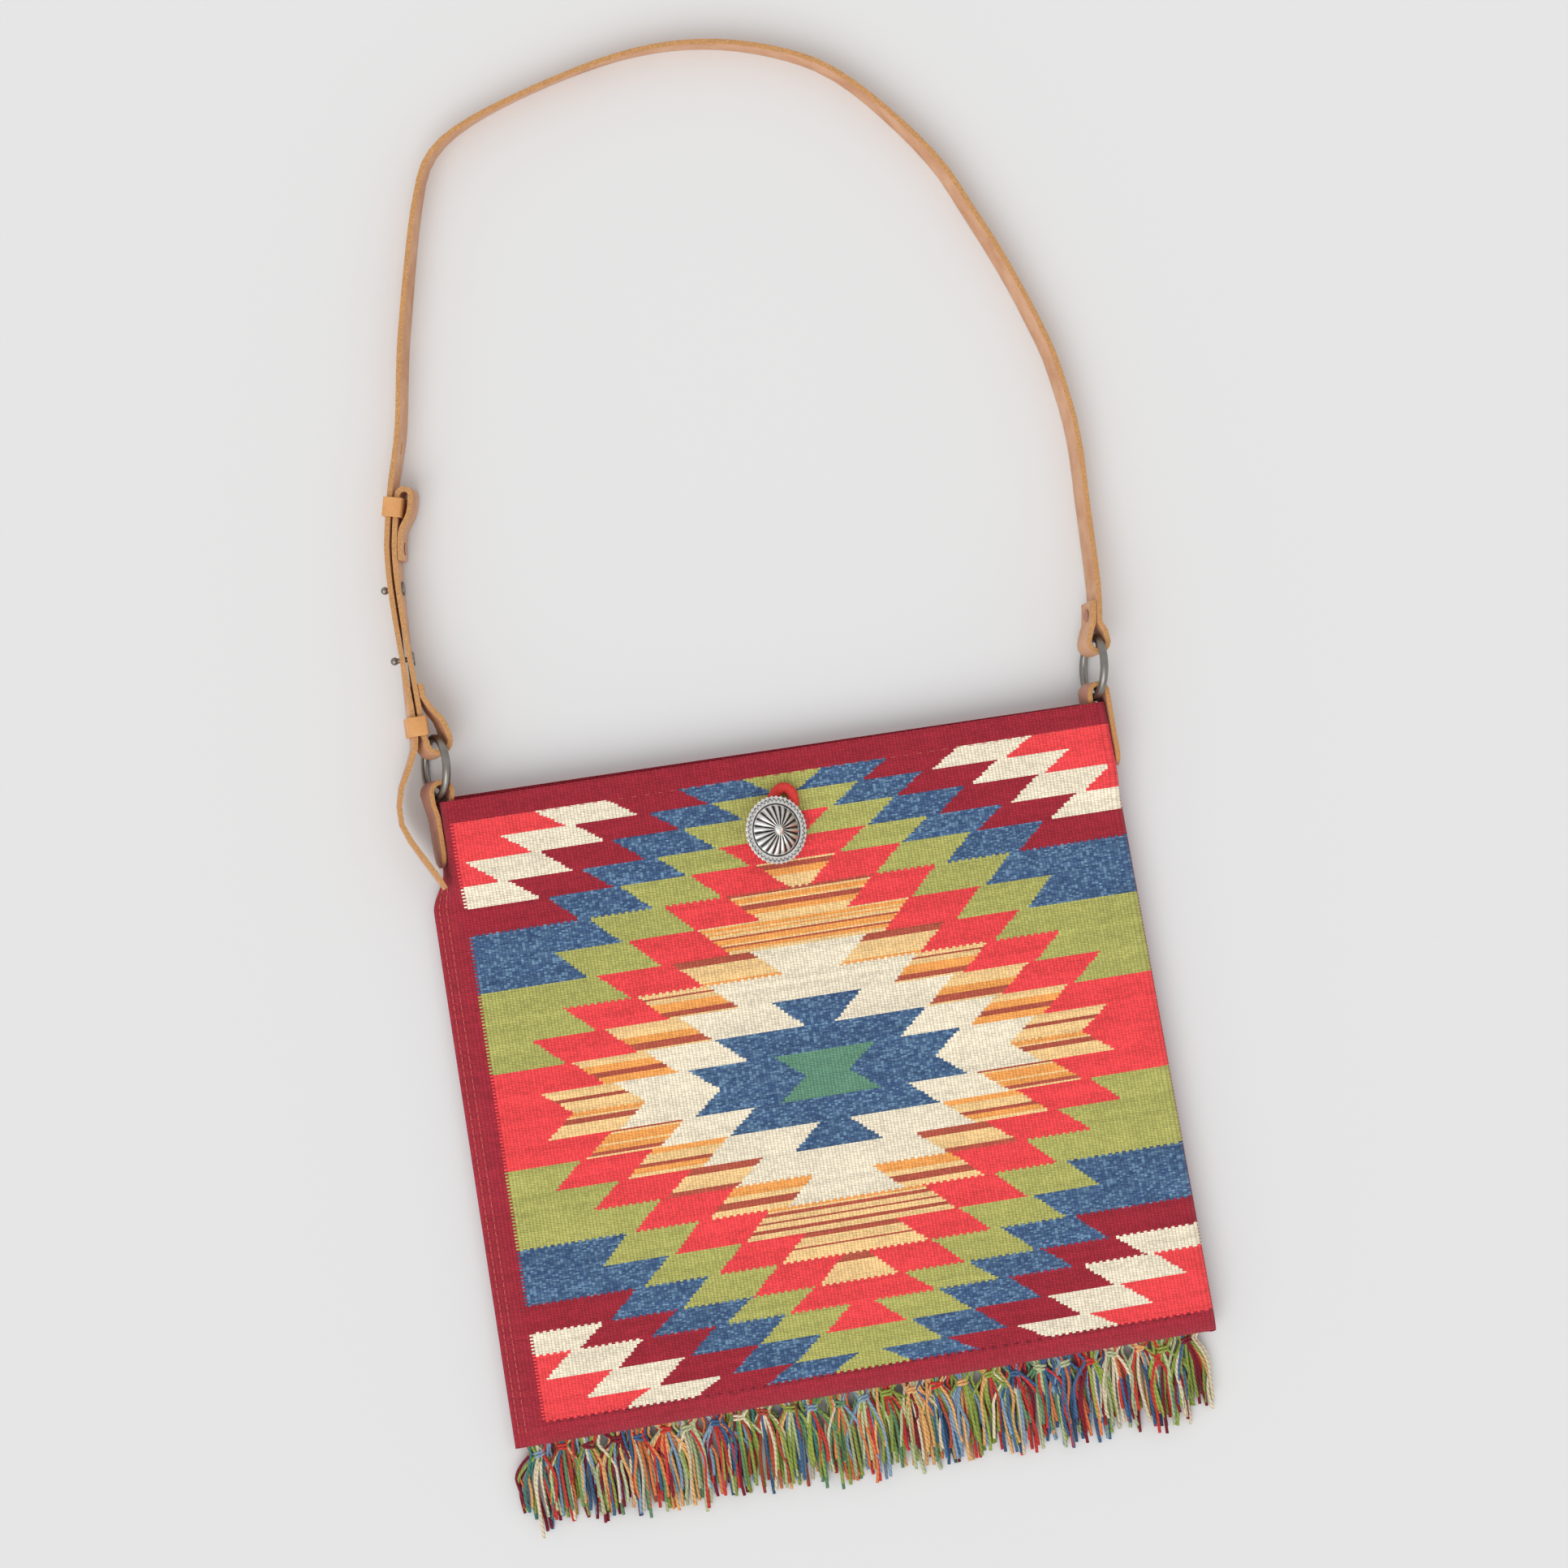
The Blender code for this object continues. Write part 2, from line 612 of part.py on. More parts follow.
def tassel(number):
    """One tassel: a knot under the hem, and yarns that spread and end unevenly."""
    low = left_edge(0) + 5
    high = right_profile(0)[0][0] - 5
    pitch = (high - low) / TASSEL_COUNT
    x = low + (number + 0.5) * pitch
    top = surface_y(x, 0) - TOUCH
    sway = 1.6 * math.sin(number * 2.3)
    long = TASSEL_LENGTH + 3.0 * math.sin(number * 1.7 + 0.5)
    half = pitch / 2 - TASSEL_SIDE_GAP / 2
    rings = (
        (0.0, TASSEL_KNOT * 0.36, 0.50, 0.0),
        (0.06, TASSEL_KNOT * 0.50, 0.62, 0.0),
        (0.13, TASSEL_KNOT * 0.36, 0.46, 0.0),
        (0.55, half * 0.86, 0.96, 0.45),
        (1.0, half - abs(sway) * 0.9, 0.72, 1.0),
    )
    sections = []
    for reach, wide, deep, lean in rings:
        ring = []
        for i in range(TASSEL_STRANDS * 2):
            angle = math.tau * i / (TASSEL_STRANDS * 2)
            groove = 0.80 if i % 2 else 1.0
            end = 2.2 * math.sin(i * 2.1 + number) * (reach > 0.9)
            px = x + sway * lean * 0.5 + wide * groove * math.cos(angle)
            pz = TASSEL_DEPTH / 2 * (1 + deep * groove * math.sin(angle))
            ring.append((px, top - long * reach - end, pz))
        sections.append(ring)
    points, faces = loft(sections)
    return piece(f"tassel_{number + 1:02d}", points, faces, [TASSEL_COLOURS[number % len(TASSEL_COLOURS)]])


# Leather straps. A station is a middle point, the strap's direction and how far its top edge leans.

def ring_frame(side):
    """A ring's middle, its level direction towards the strap, and the level direction to the right."""
    ring = RINGS[side]
    turn = math.radians(ring["turn"])
    toward = Vector((math.sin(turn), math.cos(turn), 0))
    right = Vector((math.cos(turn), -math.sin(turn), 0))
    return from_mouth(*ring["middle"]), toward, right


def from_mouth(side, x, rise, z):
    """A place given by a share of the way to the mouth's corner, X from there, rise and height."""
    return Vector((side * BAG_TOP_WIDTH / 2 + x, MOUTH_Y + rise, z))


def outward(x, y):
    """Level direction away from the strap's loop."""
    reach = Vector((x, max(y - MOUTH_Y - ARCH_RISE, 0), 0))
    return reach.normalized()


def catmull(a, b, c, d, t):
    """A point on the smooth curve from b to c."""
    cubic = (3 * b - a - 3 * c + d) * t ** 3
    return 0.5 * (2 * b + (c - a) * t + (2 * a - 5 * b + 4 * c - d) * t * t + cubic)


def smooth_route(places, spacing):
    """Places read from a smooth curve through a row of places, at about even spacing."""
    row = [places[0] * 2 - places[1]] + list(places) + [places[-1] * 2 - places[-2]]
    found = []
    for i in range(1, len(row) - 2):
        steps = max(1, round((row[i + 1] - row[i]).length / spacing))
        found += [catmull(*row[i - 1:i + 3], step / steps) for step in range(steps)]
    return found + [places[-1]]


def long_run():
    """Stations of the long strap between the right ring's fold and its tip."""
    places = []
    for side, x, rise, z, lean in STRAP_ROUTE:
        place = from_mouth(side, x, rise, z)
        shift = outward(place.x, place.y) * math.tan(math.radians(lean))
        places.append(Vector((*place, shift.x, shift.y)))
    found = smooth_route(places, STRAP_SPACING)
    return [(Vector(place[:3]), Vector((place[3], place[4], 0))) for place in found]


def ribbon(name, stations, width, thick, colours, taper_start=None):
    """A flat strap through its stations, standing on edge; its end can taper to a rounded point."""
    middles = [middle for middle, lean in stations]
    lengths = [0.0] + list(accumulate((b - a).length for a, b in zip(middles, middles[1:])))
    sections = []
    for i, (middle, lean) in enumerate(stations):
        before, after = middles[max(i - 1, 0)], middles[min(i + 1, len(middles) - 1)]
        way = Vector((after.x - before.x, after.y - before.y, 0)).normalized()
        across = Vector((way.y, -way.x, 0)) * thick / 2
        up = Vector((lean.x, lean.y, 1)).normalized() * width / 2
        left = lengths[-1] - lengths[i]
        if taper_start and left < taper_start:
            up = up * (0.22 + 0.78 * math.sqrt(max(1 - (1 - left / taper_start) ** 2, 0)))
        sections.append([tuple(middle + across + up), tuple(middle - across + up),
                         tuple(middle - across - up), tuple(middle + across - up)])
    points, faces = loft(sections)
    return piece(name, points, faces, colours, smooth=35)


def at_rise(run, rise):
    """The station of the strap's left side at one rise, with its level directions inwards and upwards."""
    y = MOUTH_Y + rise
    left = [item for item in run if item[0].x < 0 and item[0].y < MOUTH_Y + SIDE_RISE]
    for (a, lean_a), (b, lean_b) in zip(left, left[1:]):
        if b.y <= y <= a.y:
            part = (a.y - y) / (a.y - b.y)
            up = Vector((a.x - b.x, a.y - b.y, 0)).normalized()
            return a.lerp(b, part), lean_a.lerp(lean_b, part), Vector((up.y, -up.x, 0)), up
    raise ValueError(f"the strap's left side has no place {rise} above the mouth")


def beside(run, rise, offset):
    """A station that lies beside the long strap, further in by an offset."""
    middle, lean, inward, up = at_rise(run, rise)
    return middle + inward * offset, lean


def steps_between(first, last, spacing):
    count = max(1, math.ceil(abs(last - first) / spacing))
    return [blend(first, last, i / count) for i in range(count + 1)]


def fold_arc(centre, toward, right, radius, from_angle, to_angle, steps=8):
    """Places round a fold, its angles in degrees from the level direction to the right."""
    found = []
    for i in range(steps + 1):
        angle = math.radians(blend(from_angle, to_angle, i / steps))
        found.append(centre + right * radius * math.cos(angle) + toward * radius * math.sin(angle))
    return found


def strap_fold(side):
    """The strap's fold round a ring: its places, lean, and the ring's end as the frame's origin."""
    ring = RINGS[side]
    middle, toward, right = ring_frame(side)
    end = middle + toward * RING_MIDDLE / 2
    radius = ring["hollow"] + STRAP_THICK / 2
    centre = end - toward * (RING_WIRE / 2 + ring["slack"] - ring["hollow"])
    places = fold_arc(centre, toward, right, radius, 180, 360)
    return places, Vector((*ring["strap_lean"], 0)), (end, toward, right)


def strap_long():
    """The long strap: its fold round the right ring, the arch, and the tail past the lower keeper."""
    places, lean, (end, toward, right) = strap_fold("right")
    run = long_run()
    stub_shift = MAIN_SHIFT - STRAP_THICK - FOLD_GAP
    stub = [end + toward * a + right * b for a, b in
            ((FOLD_LEG, stub_shift), (12, stub_shift), (7, stub_shift - 0.15), (3, -3.6))]
    leg = [end + toward * a + right * b for a, b in
           ((2.5, 3.4), (7, MAIN_SHIFT + 0.1), (12, MAIN_SHIFT), (FOLD_LEG, MAIN_SHIFT), (25, 0.1))]
    drop = Vector((0, 0, 1))
    stations = [(place - drop * max((place - end).dot(toward) - 5, 0) * 0.14, lean)
                for place in stub + places + leg]
    made = ribbon("strap_long", stations + run, STRAP_WIDTH, STRAP_THICK, ["leather"], TIP_TAPER)
    for name, rise in STUDS.items():
        cut(made, stud_cutter(run, name, rise))
    cut(made, rivet_cutter("strap_long_rivet", *right_rivet_place()))
    place, lean, inward, up = at_rise(run, SLIT_RISE)
    cut(made, block_cutter("slit_cutter", place, inward, up, (STRAP_THICK * 3, SLIT_LENGTH, SLIT_WIDTH)))
    return made


def strap_short():
    """The short strap: doubled at its top round the upper keeper, and folded round the left ring."""
    run = long_run()
    top_spread = TOP_HOLLOW + STRAP_THICK
    stations = []
    for rise in steps_between(TOP_STUB_END, TOP_FOLD, 3.2):
        opened = smooth_step((rise - TOP_STUB_JOIN) / (TOP_STUB_FREE - TOP_STUB_JOIN))
        stations.append(beside(run, rise, PAIR + blend(FOLDED, top_spread, opened)))
    middle, lean, inward, up = at_rise(run, TOP_FOLD)
    centre = middle + inward * (PAIR + top_spread / 2)
    stations += [(place, lean) for place in fold_arc(centre, up, inward, top_spread / 2, 20, 160, 7)]
    stations += [beside(run, rise, PAIR) for rise in steps_between(TOP_FOLD, LEG_LOW, 6.5)]
    places, ring_lean, (end, toward, right) = strap_fold("left")
    stations += [(place, ring_lean) for place in places]
    low, low_lean = beside(run, RING_STUB_JOIN, PAIR + FOLDED)
    climb = smooth_route([places[-1], places[-1] + Vector((-0.4, 4.5, 0)), end + Vector((3.2, 8.6, -0.6)),
                         end + Vector((-0.2, 13.6, -1.4)), low], 3.0)
    for place in climb[1:-1]:
        part = (place.y - climb[0].y) / (low.y - climb[0].y)
        stations.append((place, ring_lean.lerp(low_lean, part)))
    stations += [beside(run, rise, PAIR + FOLDED)
                 for rise in steps_between(RING_STUB_JOIN, RING_STUB_END, 3.5)]
    made = ribbon("strap_short", stations, STRAP_WIDTH, STRAP_THICK, ["leather"])
    for name, rise in STUDS.items():
        cut(made, stud_cutter(run, name, rise))
    for name, rise in (("strap_short_top_rivet", TOP_RIVET), ("strap_short_ring_rivet", RING_RIVET)):
        cut(made, rivet_cutter(name, *left_rivet_place(run, rise)))
    return made


# Turned metal pieces

def turned(profile, steps):
    """Points and faces of a piece turned about Z from a row of (radius, height), top to bottom."""
    points = []
    rows = []
    for radius, height in profile:
        if radius == 0:
            rows.append([len(points)] * steps)
            points.append((0, 0, height))
            continue
        rows.append(list(range(len(points), len(points) + steps)))
        for i in range(steps):
            angle = math.tau * i / steps
            points.append((radius * math.cos(angle), radius * math.sin(angle), height))
    faces = []
    for upper, lower in zip(rows, rows[1:]):
        for i in range(steps):
            j = (i + 1) % steps
            corners = list(dict.fromkeys((upper[i], upper[j], lower[j], lower[i])))
            if len(corners) > 2:
                faces.append(tuple(corners))
    return points, faces


def aim(made, place, axis):
    """Puts a piece's origin at a place in millimetres, with its Z along an axis."""
    made.location = mm(*place)
    made.rotation_mode = "QUATERNION"
    made.rotation_quaternion = Vector(axis).to_track_quat("Z", "Y")
    return made


def round_arc(radius, middle, first, last, steps):
    """(radius, height) pairs round a ball between two angles in degrees from its top."""
    found = []
    for i in range(steps + 1):
        angle = math.radians(blend(first, last, i / steps))
        found.append((round(radius * math.sin(angle), 6), middle + radius * math.cos(angle)))
    return found


def face_normal(way, lean):
    """The direction square to a leaning strap's face, to the right of its way."""
    return way.cross(Vector((lean.x, lean.y, 1))).normalized()


def stud_place(run, rise):
    middle, lean, inward, up = at_rise(run, rise)
    return middle, face_normal(up, lean)


def stud(run, name, rise):
    """A ball stud: the ball and its hollow post, and the screw that holds it from the inner side."""
    middle, inward = stud_place(run, rise)
    outer = STRAP_THICK / 2 + TOUCH
    inner = PAIR + STRAP_THICK / 2 + TOUCH
    ball = STUD_BALL / 2
    post = STUD_POST / 2
    bore = post - 0.6
    neck = math.degrees(math.asin(post / ball))
    profile = round_arc(ball, outer + TOUCH + ball, 0, 180 - neck, 6)
    profile += [(post, -inner + TOUCH), (bore, -inner + TOUCH), (bore, -outer), (0, -outer)]
    made = piece(f"stud_ball_{name}", *turned(profile, 12), ["nickel"], smooth=40)
    aim(made, middle, -inward)
    head = STUD_BASE / 2
    profile = [(0, -outer - 0.6), (bore - 0.35, -outer - 0.6), (bore - 0.35, -inner), (head, -inner),
               (head, -inner - STUD_BASE_THICK * 0.5), (head * 0.8, -inner - STUD_BASE_THICK),
               (0, -inner - STUD_BASE_THICK)]
    made = piece(f"stud_screw_{name}", *turned(profile, 12), ["nickel"], smooth=40)
    aim(made, middle, -inward)


def rivet(name, place, axis, grip):
    """A rivet through two thicknesses of leather, with a flat head at each end."""
    post = RIVET_POST / 2
    head = RIVET_HEAD / 2
    half = grip / 2 + TOUCH
    end = half + RIVET_HEAD_THICK
    profile = [(0, end), (head * 0.86, end), (head, half + 0.12), (head, half), (post, half), (post, -half),
               (head, -half), (head, -half - 0.12), (head * 0.86, -end), (0, -end)]
    made = piece(name, *turned(profile, 12), ["leather_dark"], smooth=40)
    return aim(made, place, axis)


def left_rivet_place(run, rise):
    middle, lean, inward, up = at_rise(run, rise)
    return middle + inward * (PAIR + FOLDED / 2), face_normal(up, lean)


def right_rivet_place():
    places, lean, (end, toward, right) = strap_fold("right")
    a = RIGHT_RIVET_REACH
    place = end + toward * a + right * (MAIN_SHIFT - FOLDED / 2) - Vector((0, 0, (a - 5) * 0.14))
    return place, face_normal(toward, lean)


def cutter(name, points, faces):
    """A cutting body, which isn't part of the bag."""
    made = piece(name, points, faces, ["leather"])
    made.hide_render = True
    made.display_type = "WIRE"
    return made


def cut(target, tool):
    hole = target.modifiers.new(tool.name, "BOOLEAN")
    hole.operation = "DIFFERENCE"
    hole.object = tool


def round_cutter(name, radius, reach):
    """A round cutter that reaches as far to both sides of its place."""
    return cutter(name, *turned([(0, reach), (radius, reach), (radius, -reach), (0, -reach)], 12))


def stud_cutter(run, name, rise):
    """The hole of a stud's post, through both straps."""
    found = bpy.data.objects.get(f"stud_cutter_{name}")
    if found:
        return found
    middle, inward = stud_place(run, rise)
    reach = PAIR + STRAP_THICK * 2
    return aim(round_cutter(f"stud_cutter_{name}", STUD_POST / 2 + HOLE_CLEAR, reach), middle, -inward)


def rivet_cutter(name, place, axis):
    reach = STRAP_THICK + FOLD_GAP + 1.0
    return aim(round_cutter(f"{name}_cutter", RIVET_POST / 2 + HOLE_CLEAR, reach), place, axis)


def block_cutter(name, place, across, along_way, size):
    """A box-shaped cutter at a place, its sides along two level directions and Z."""
    corners = [(i, j, k) for i in (-0.5, 0.5) for j in (-0.5, 0.5) for k in (-0.5, 0.5)]
    points = [tuple(place + across * size[0] * i + along_way * size[1] * j + Vector((0, 0, size[2] * k)))
              for i, j, k in corners]
    faces = [(0, 1, 3, 2), (4, 6, 7, 5), (0, 4, 5, 1), (2, 3, 7, 6), (0, 2, 6, 4), (1, 5, 7, 3)]
    return cutter(name, points, faces)


def ring(side):
    """A wire ring that stands leaning in its leather folds, its Z on its own axis."""
    middle, toward, right = ring_frame(side)
    lean = math.radians(RINGS[side]["lean"])
    upright = Vector((0, 0, 1)) * math.cos(lean) + right * math.sin(lean)
    around, about = 28, 8
    points = []
    for i in range(around):
        turn = math.tau * i / around
        for j in range(about):
            angle = math.tau * j / about
            reach = RING_MIDDLE / 2 + RING_WIRE / 2 * math.cos(angle)
            points.append((reach * math.cos(turn), reach * math.sin(turn), RING_WIRE / 2 * math.sin(angle)))
    faces = []
    for i in range(around):
        for j in range(about):
            k, m = (i + 1) % around, (j + 1) % about
            faces.append((i * about + j, k * about + j, k * about + m, i * about + m))
    made = piece(f"ring_{side}", points, faces, ["nickel"], smooth=60)
    return aim(made, middle, toward.cross(upright))


# Side tabs and keepers

def leg_station(side, place, lean):
    """A station of a tab's leg beside the bag's side."""
    x, drop, z = place
    y = BAG_HEIGHT / 2 + drop
    edge = left_edge(share(y)) if side == "left" else right_edge(min(share(y), 1.0))
    return Vector((edge + x, y, z)), lean


def tab(side):
    """A leather tab: one leg inside the bag's side, a fold round the ring, and a pointed leg outside."""
    ring, legs = RINGS[side], TAB_LEGS[side]
    middle, toward, right = ring_frame(side)
    end = middle - toward * RING_MIDDLE / 2
    centre = end + toward * (RING_WIRE / 2 + ring["tab_slack"] - ring["tab_hollow"])
    lean, fold_lean = Vector((legs["lean"], 0, 0)), Vector((legs["fold_lean"], 0, 0))
    start = legs["start"]
    fold = fold_arc(centre, toward, right, ring["tab_hollow"] + TAB_THICK / 2, start, 180 - start)
    stations = [leg_station(side, place, lean) for place in legs["inner"]]
    stations += [(place, fold_lean) for place in fold]
    stations += [leg_station(side, place, lean) for place in legs["outer"]]
    return ribbon(f"tab_{side}", stations, TAB_WIDTH, TAB_THICK, ["leather_dark"], TAB_TIP)


def rounded_box(half_wide, half_high, radius):
    """Corners of a box with rounded corners, as (across, up) pairs."""
    found = []
    for middle_u, middle_z, start in ((1, 1, 0), (-1, 1, 90), (-1, -1, 180), (1, -1, 270)):
        for angle in (start, start + 45, start + 90):
            turn = math.radians(angle)
            found.append((middle_u * (half_wide - radius) + radius * math.cos(turn),
                          middle_z * (half_high - radius) + radius * math.sin(turn)))
    return found


def keeper(name, rise):
    """A leather loop round both straps, with its origin at its middle."""
    run = long_run()
    middle, lean, inward, up = at_rise(run, rise)
    hole = (PAIR + STRAP_THICK) / 2 + KEEPER_CLEAR
    tall = STRAP_WIDTH / 2 + KEEPER_CLEAR
    outer = rounded_box(hole + KEEPER_WALL, tall + KEEPER_WALL, KEEPER_WALL + 0.5)
    inner = rounded_box(hole, tall, 0.5)
    points = []
    for reach in (-KEEPER_LENGTH / 2, KEEPER_LENGTH / 2):
        for u, z in outer + inner:
            points.append(tuple(inward * u + lean * z + up * reach + Vector((0, 0, z))))
    count = len(outer)
    faces = []
    for i in range(count):
        j = (i + 1) % count
        near, far = 0, count * 2
        faces.append((near + i, near + j, far + j, far + i))
        faces.append((near + count + i, far + count + i, far + count + j, near + count + j))
        faces.append((near + i, near + count + i, near + count + j, near + j))
        faces.append((far + i, far + j, far + count + j, far + count + i))
    made = piece(name, points, faces, ["keeper"], smooth=50)
    made.location = mm(*(middle + inward * PAIR / 2))
    return made


# Concho and its cord

def concho():
    """A fluted concho cast with its shank, its origin at the foot that it tilts on."""
    count = CONCHO_SCALLOPS * 2
    base = SHANK_HEIGHT
    rim = CONCHO_SIZE / 2
    dome = CONCHO_DOME / 2
    top = base + CONCHO_RIM_THICK + CONCHO_RISE
    rings = (
        (rim, base, 0.018, 0), (rim, base + CONCHO_RIM_THICK, 0.018, 0),
        (dome, base + CONCHO_RIM_THICK, 0, 0),
        (dome * 0.93, base + CONCHO_RIM_THICK + CONCHO_RISE * 0.45, 0, 0.06),
        (dome * 0.66, top - 0.5, 0, 0.07), (dome * 0.42, top - 0.1, 0, 0),
        (dome * 0.28, top + 0.7, 0, 0),
    )
    points = []
    for radius, height, scallop, petal in rings:
        for i in range(count):
            angle = math.tau * i / count
            reach = radius * (1 + scallop * math.cos(angle * CONCHO_SCALLOPS))
            reach *= 1 + petal * math.cos(angle * CONCHO_PETALS)
            points.append((reach * math.cos(angle), reach * math.sin(angle), height))
    faces = [tuple(range((len(rings) - 1) * count, len(rings) * count))]
    for row in range(len(rings) - 1):
        for i in range(count):
            j = (i + 1) % count
            low, high = row * count, (row + 1) * count
            faces.append((low + i, low + j, high + j, high + i))
    shank_steps = 16
    share_of = count // shank_steps
    foot = SHANK_FOOT / 2
    stem = SHANK_SIZE / 2
    neck = math.degrees(math.asin(stem / foot))
    profile = [(stem, base)] + round_arc(foot, 0, neck, 180, 6)
    shank_points, shank_faces = turned(profile, shank_steps)
    start = len(points)
    points += shank_points
    faces += [tuple(start + i for i in face) for face in shank_faces]
    for i in range(shank_steps):
        j = (i + 1) % shank_steps
        arc = [(i * share_of + k) % count for k in range(share_of + 1)]
        for a, b in zip(arc, arc[1:]):
            faces.append((a, b, start + i))
        faces.append((arc[-1], start + j, start + i))
    made = piece("concho", points, faces, ["silver"], smooth=35)
    tilt = math.radians(CONCHO_TILT)
    foot_x = CONCHO_X - (SHANK_HEIGHT + CONCHO_RIM_THICK) * math.sin(tilt)
    foot_z = front_height(foot_x, share(CONCHO_Y)) + foot + TOUCH
    made.location = mm(foot_x, CONCHO_Y, foot_z)
    made.rotation_euler = (0, tilt, 0)
    return made


def closure_loop():
    """The cord loop that lies round the concho's shank."""
    places = []
    for across, up in LOOP_ROUTE:
        x, y = CONCHO_X + across, CONCHO_Y + up
        places.append(Vector((x, y, front_height(x, share(y)) + LOOP_CORD / 2 + TOUCH)))
    closed = places[-1:] + places + places[:2]
    middles = []
    for i in range(1, len(closed) - 2):
        middles += [catmull(*closed[i - 1:i + 3], step / 2) for step in range(2)]
    points = []
    faces = []
    count = len(middles)
    for i, middle in enumerate(middles):
        way = middles[(i + 1) % count] - middles[i - 1]
        across = Vector((way.y, -way.x, 0)).normalized()
        for k in range(CORD_SIDES):
            angle = math.tau * k / CORD_SIDES
            reach = LOOP_CORD / 2
            raised = Vector((0, 0, reach * math.sin(angle)))
            points.append(tuple(middle + across * reach * math.cos(angle) + raised))
            low, high = i * CORD_SIDES, (i + 1) % count * CORD_SIDES
            faces.append((low + k, low + (k + 1) % CORD_SIDES, high + (k + 1) % CORD_SIDES, high + k))
    return piece("closure_loop", points, faces, ["cord_red"], smooth=60)


def main():
    clear_scene()
    front_panel()
    back_panel()
    for number in range(TASSEL_COUNT):
        tassel(number)
    strap_long()
    strap_short()
    for side in RINGS:
        ring(side)
        tab(side)
    run = long_run()
    for name, rise in STUDS.items():
        stud(run, name, rise)
    for name, rise in (("rivet_top_fold", TOP_RIVET), ("rivet_left_ring", RING_RIVET)):
        rivet(name, *left_rivet_place(run, rise), STRAP_THICK * 2 + FOLD_GAP)
    rivet("rivet_right_ring", *right_rivet_place(), STRAP_THICK * 2 + FOLD_GAP)
    keeper("keeper_upper", KEEPER_UPPER)
    keeper("keeper_lower", KEEPER_LOWER)
    concho()
    closure_loop()


main()
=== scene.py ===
"""Looks for a woven wool crossbody bag with a leather strap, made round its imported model.

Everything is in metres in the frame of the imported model: +X across the bag, +Y towards its mouth and
strap, +Z out of its front. Sizes in the code are millimetres and pass through mm(). Only the settings,
the shaders' numbers and the floor's reach are in metres.
"""

import json
import math
import random

import bmesh
import bpy
from bpy.props import FloatProperty, FloatVectorProperty, IntProperty, PointerProperty
from mathutils import Matrix, Vector, noise


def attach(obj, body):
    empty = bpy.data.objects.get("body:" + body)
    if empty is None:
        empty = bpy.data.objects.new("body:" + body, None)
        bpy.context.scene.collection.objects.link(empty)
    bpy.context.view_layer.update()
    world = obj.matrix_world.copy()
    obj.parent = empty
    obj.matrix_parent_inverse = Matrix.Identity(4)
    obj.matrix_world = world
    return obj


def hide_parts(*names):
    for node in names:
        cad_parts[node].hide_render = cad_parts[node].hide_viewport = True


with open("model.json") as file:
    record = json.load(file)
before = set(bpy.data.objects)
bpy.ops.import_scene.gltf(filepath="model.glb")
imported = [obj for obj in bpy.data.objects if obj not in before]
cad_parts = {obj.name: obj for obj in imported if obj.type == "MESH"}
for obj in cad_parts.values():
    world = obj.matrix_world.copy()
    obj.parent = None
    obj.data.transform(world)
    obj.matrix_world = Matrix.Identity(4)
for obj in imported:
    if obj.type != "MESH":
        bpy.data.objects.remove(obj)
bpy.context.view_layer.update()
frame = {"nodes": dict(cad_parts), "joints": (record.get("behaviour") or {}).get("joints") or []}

bl_info = {
    "name": "Woven crossbody bag",
    "version": (1, 0, 0),
    "blender": (4, 5, 0),
    "location": "View3D > Sidebar > Bag",
    "description": "Tapestry panels, yarn fringe, leather straps and metal for a crossbody bag",
    "category": "Add Mesh",
}


# Small helpers

def mm(*values):
    """Millimetres to metres, as a number or a vector."""
    if len(values) == 1:
        return values[0] / 1000
    return Vector(value / 1000 for value in values)


def linear(code):
    """An sRGB hex colour as linear red, green, blue and alpha."""
    found = []
    for i in (1, 3, 5):
        part = int(code[i:i + 2], 16) / 255
        found.append(part / 12.92 if part <= 0.04045 else ((part + 0.055) / 1.055) ** 2.4)
    return (*found, 1.0)


def blend(low, high, part):
    return low + (high - low) * part


def smooth_step(value):
    value = min(max(value, 0.0), 1.0)
    return value * value * (3 - 2 * value)


def mixed(first, second, part):
    return tuple(blend(a, b, part) for a, b in zip(first, second))


def feed(tree, node, **inputs):
    """Links or values for a node's inputs, as in_NAME with spaces as underscores, or as in_NUMBER."""
    for name, value in inputs.items():
        key = name[3:]
        socket = node.inputs[int(key)] if key.isdigit() else node.inputs[key.replace("_", " ")]
        if isinstance(value, bpy.types.NodeSocket):
            tree.links.new(value, socket)
        else:
            socket.default_value = value


def add(tree, kind, settings=None, **inputs):
    """One node with its settings and inputs."""
    node = tree.nodes.new(kind)
    for name, value in (settings or {}).items():
        setattr(node, name, value)
    feed(tree, node, **inputs)
    return node


def math_node(tree, operation, first, second=0.0):
    return add(tree, "ShaderNodeMath", {"operation": operation}, in_0=first, in_1=second).outputs[0]


def plus(tree, first, second):
    return math_node(tree, "ADD", first, second)


def times(tree, first, second):
    return math_node(tree, "MULTIPLY", first, second)


def new_material(name):
    """A material with only its output and Principled shader, its node tree and that shader."""
    made = bpy.data.materials.new(name)
    made.use_nodes = True
    tree = made.node_tree
    return made, tree, tree.nodes["Principled BSDF"]


def shown(name, data):
    """An object in the scene that carries a mesh, a lamp or a camera."""
    made = bpy.data.objects.new(name, data)
    bpy.context.scene.collection.objects.link(made)
    return made


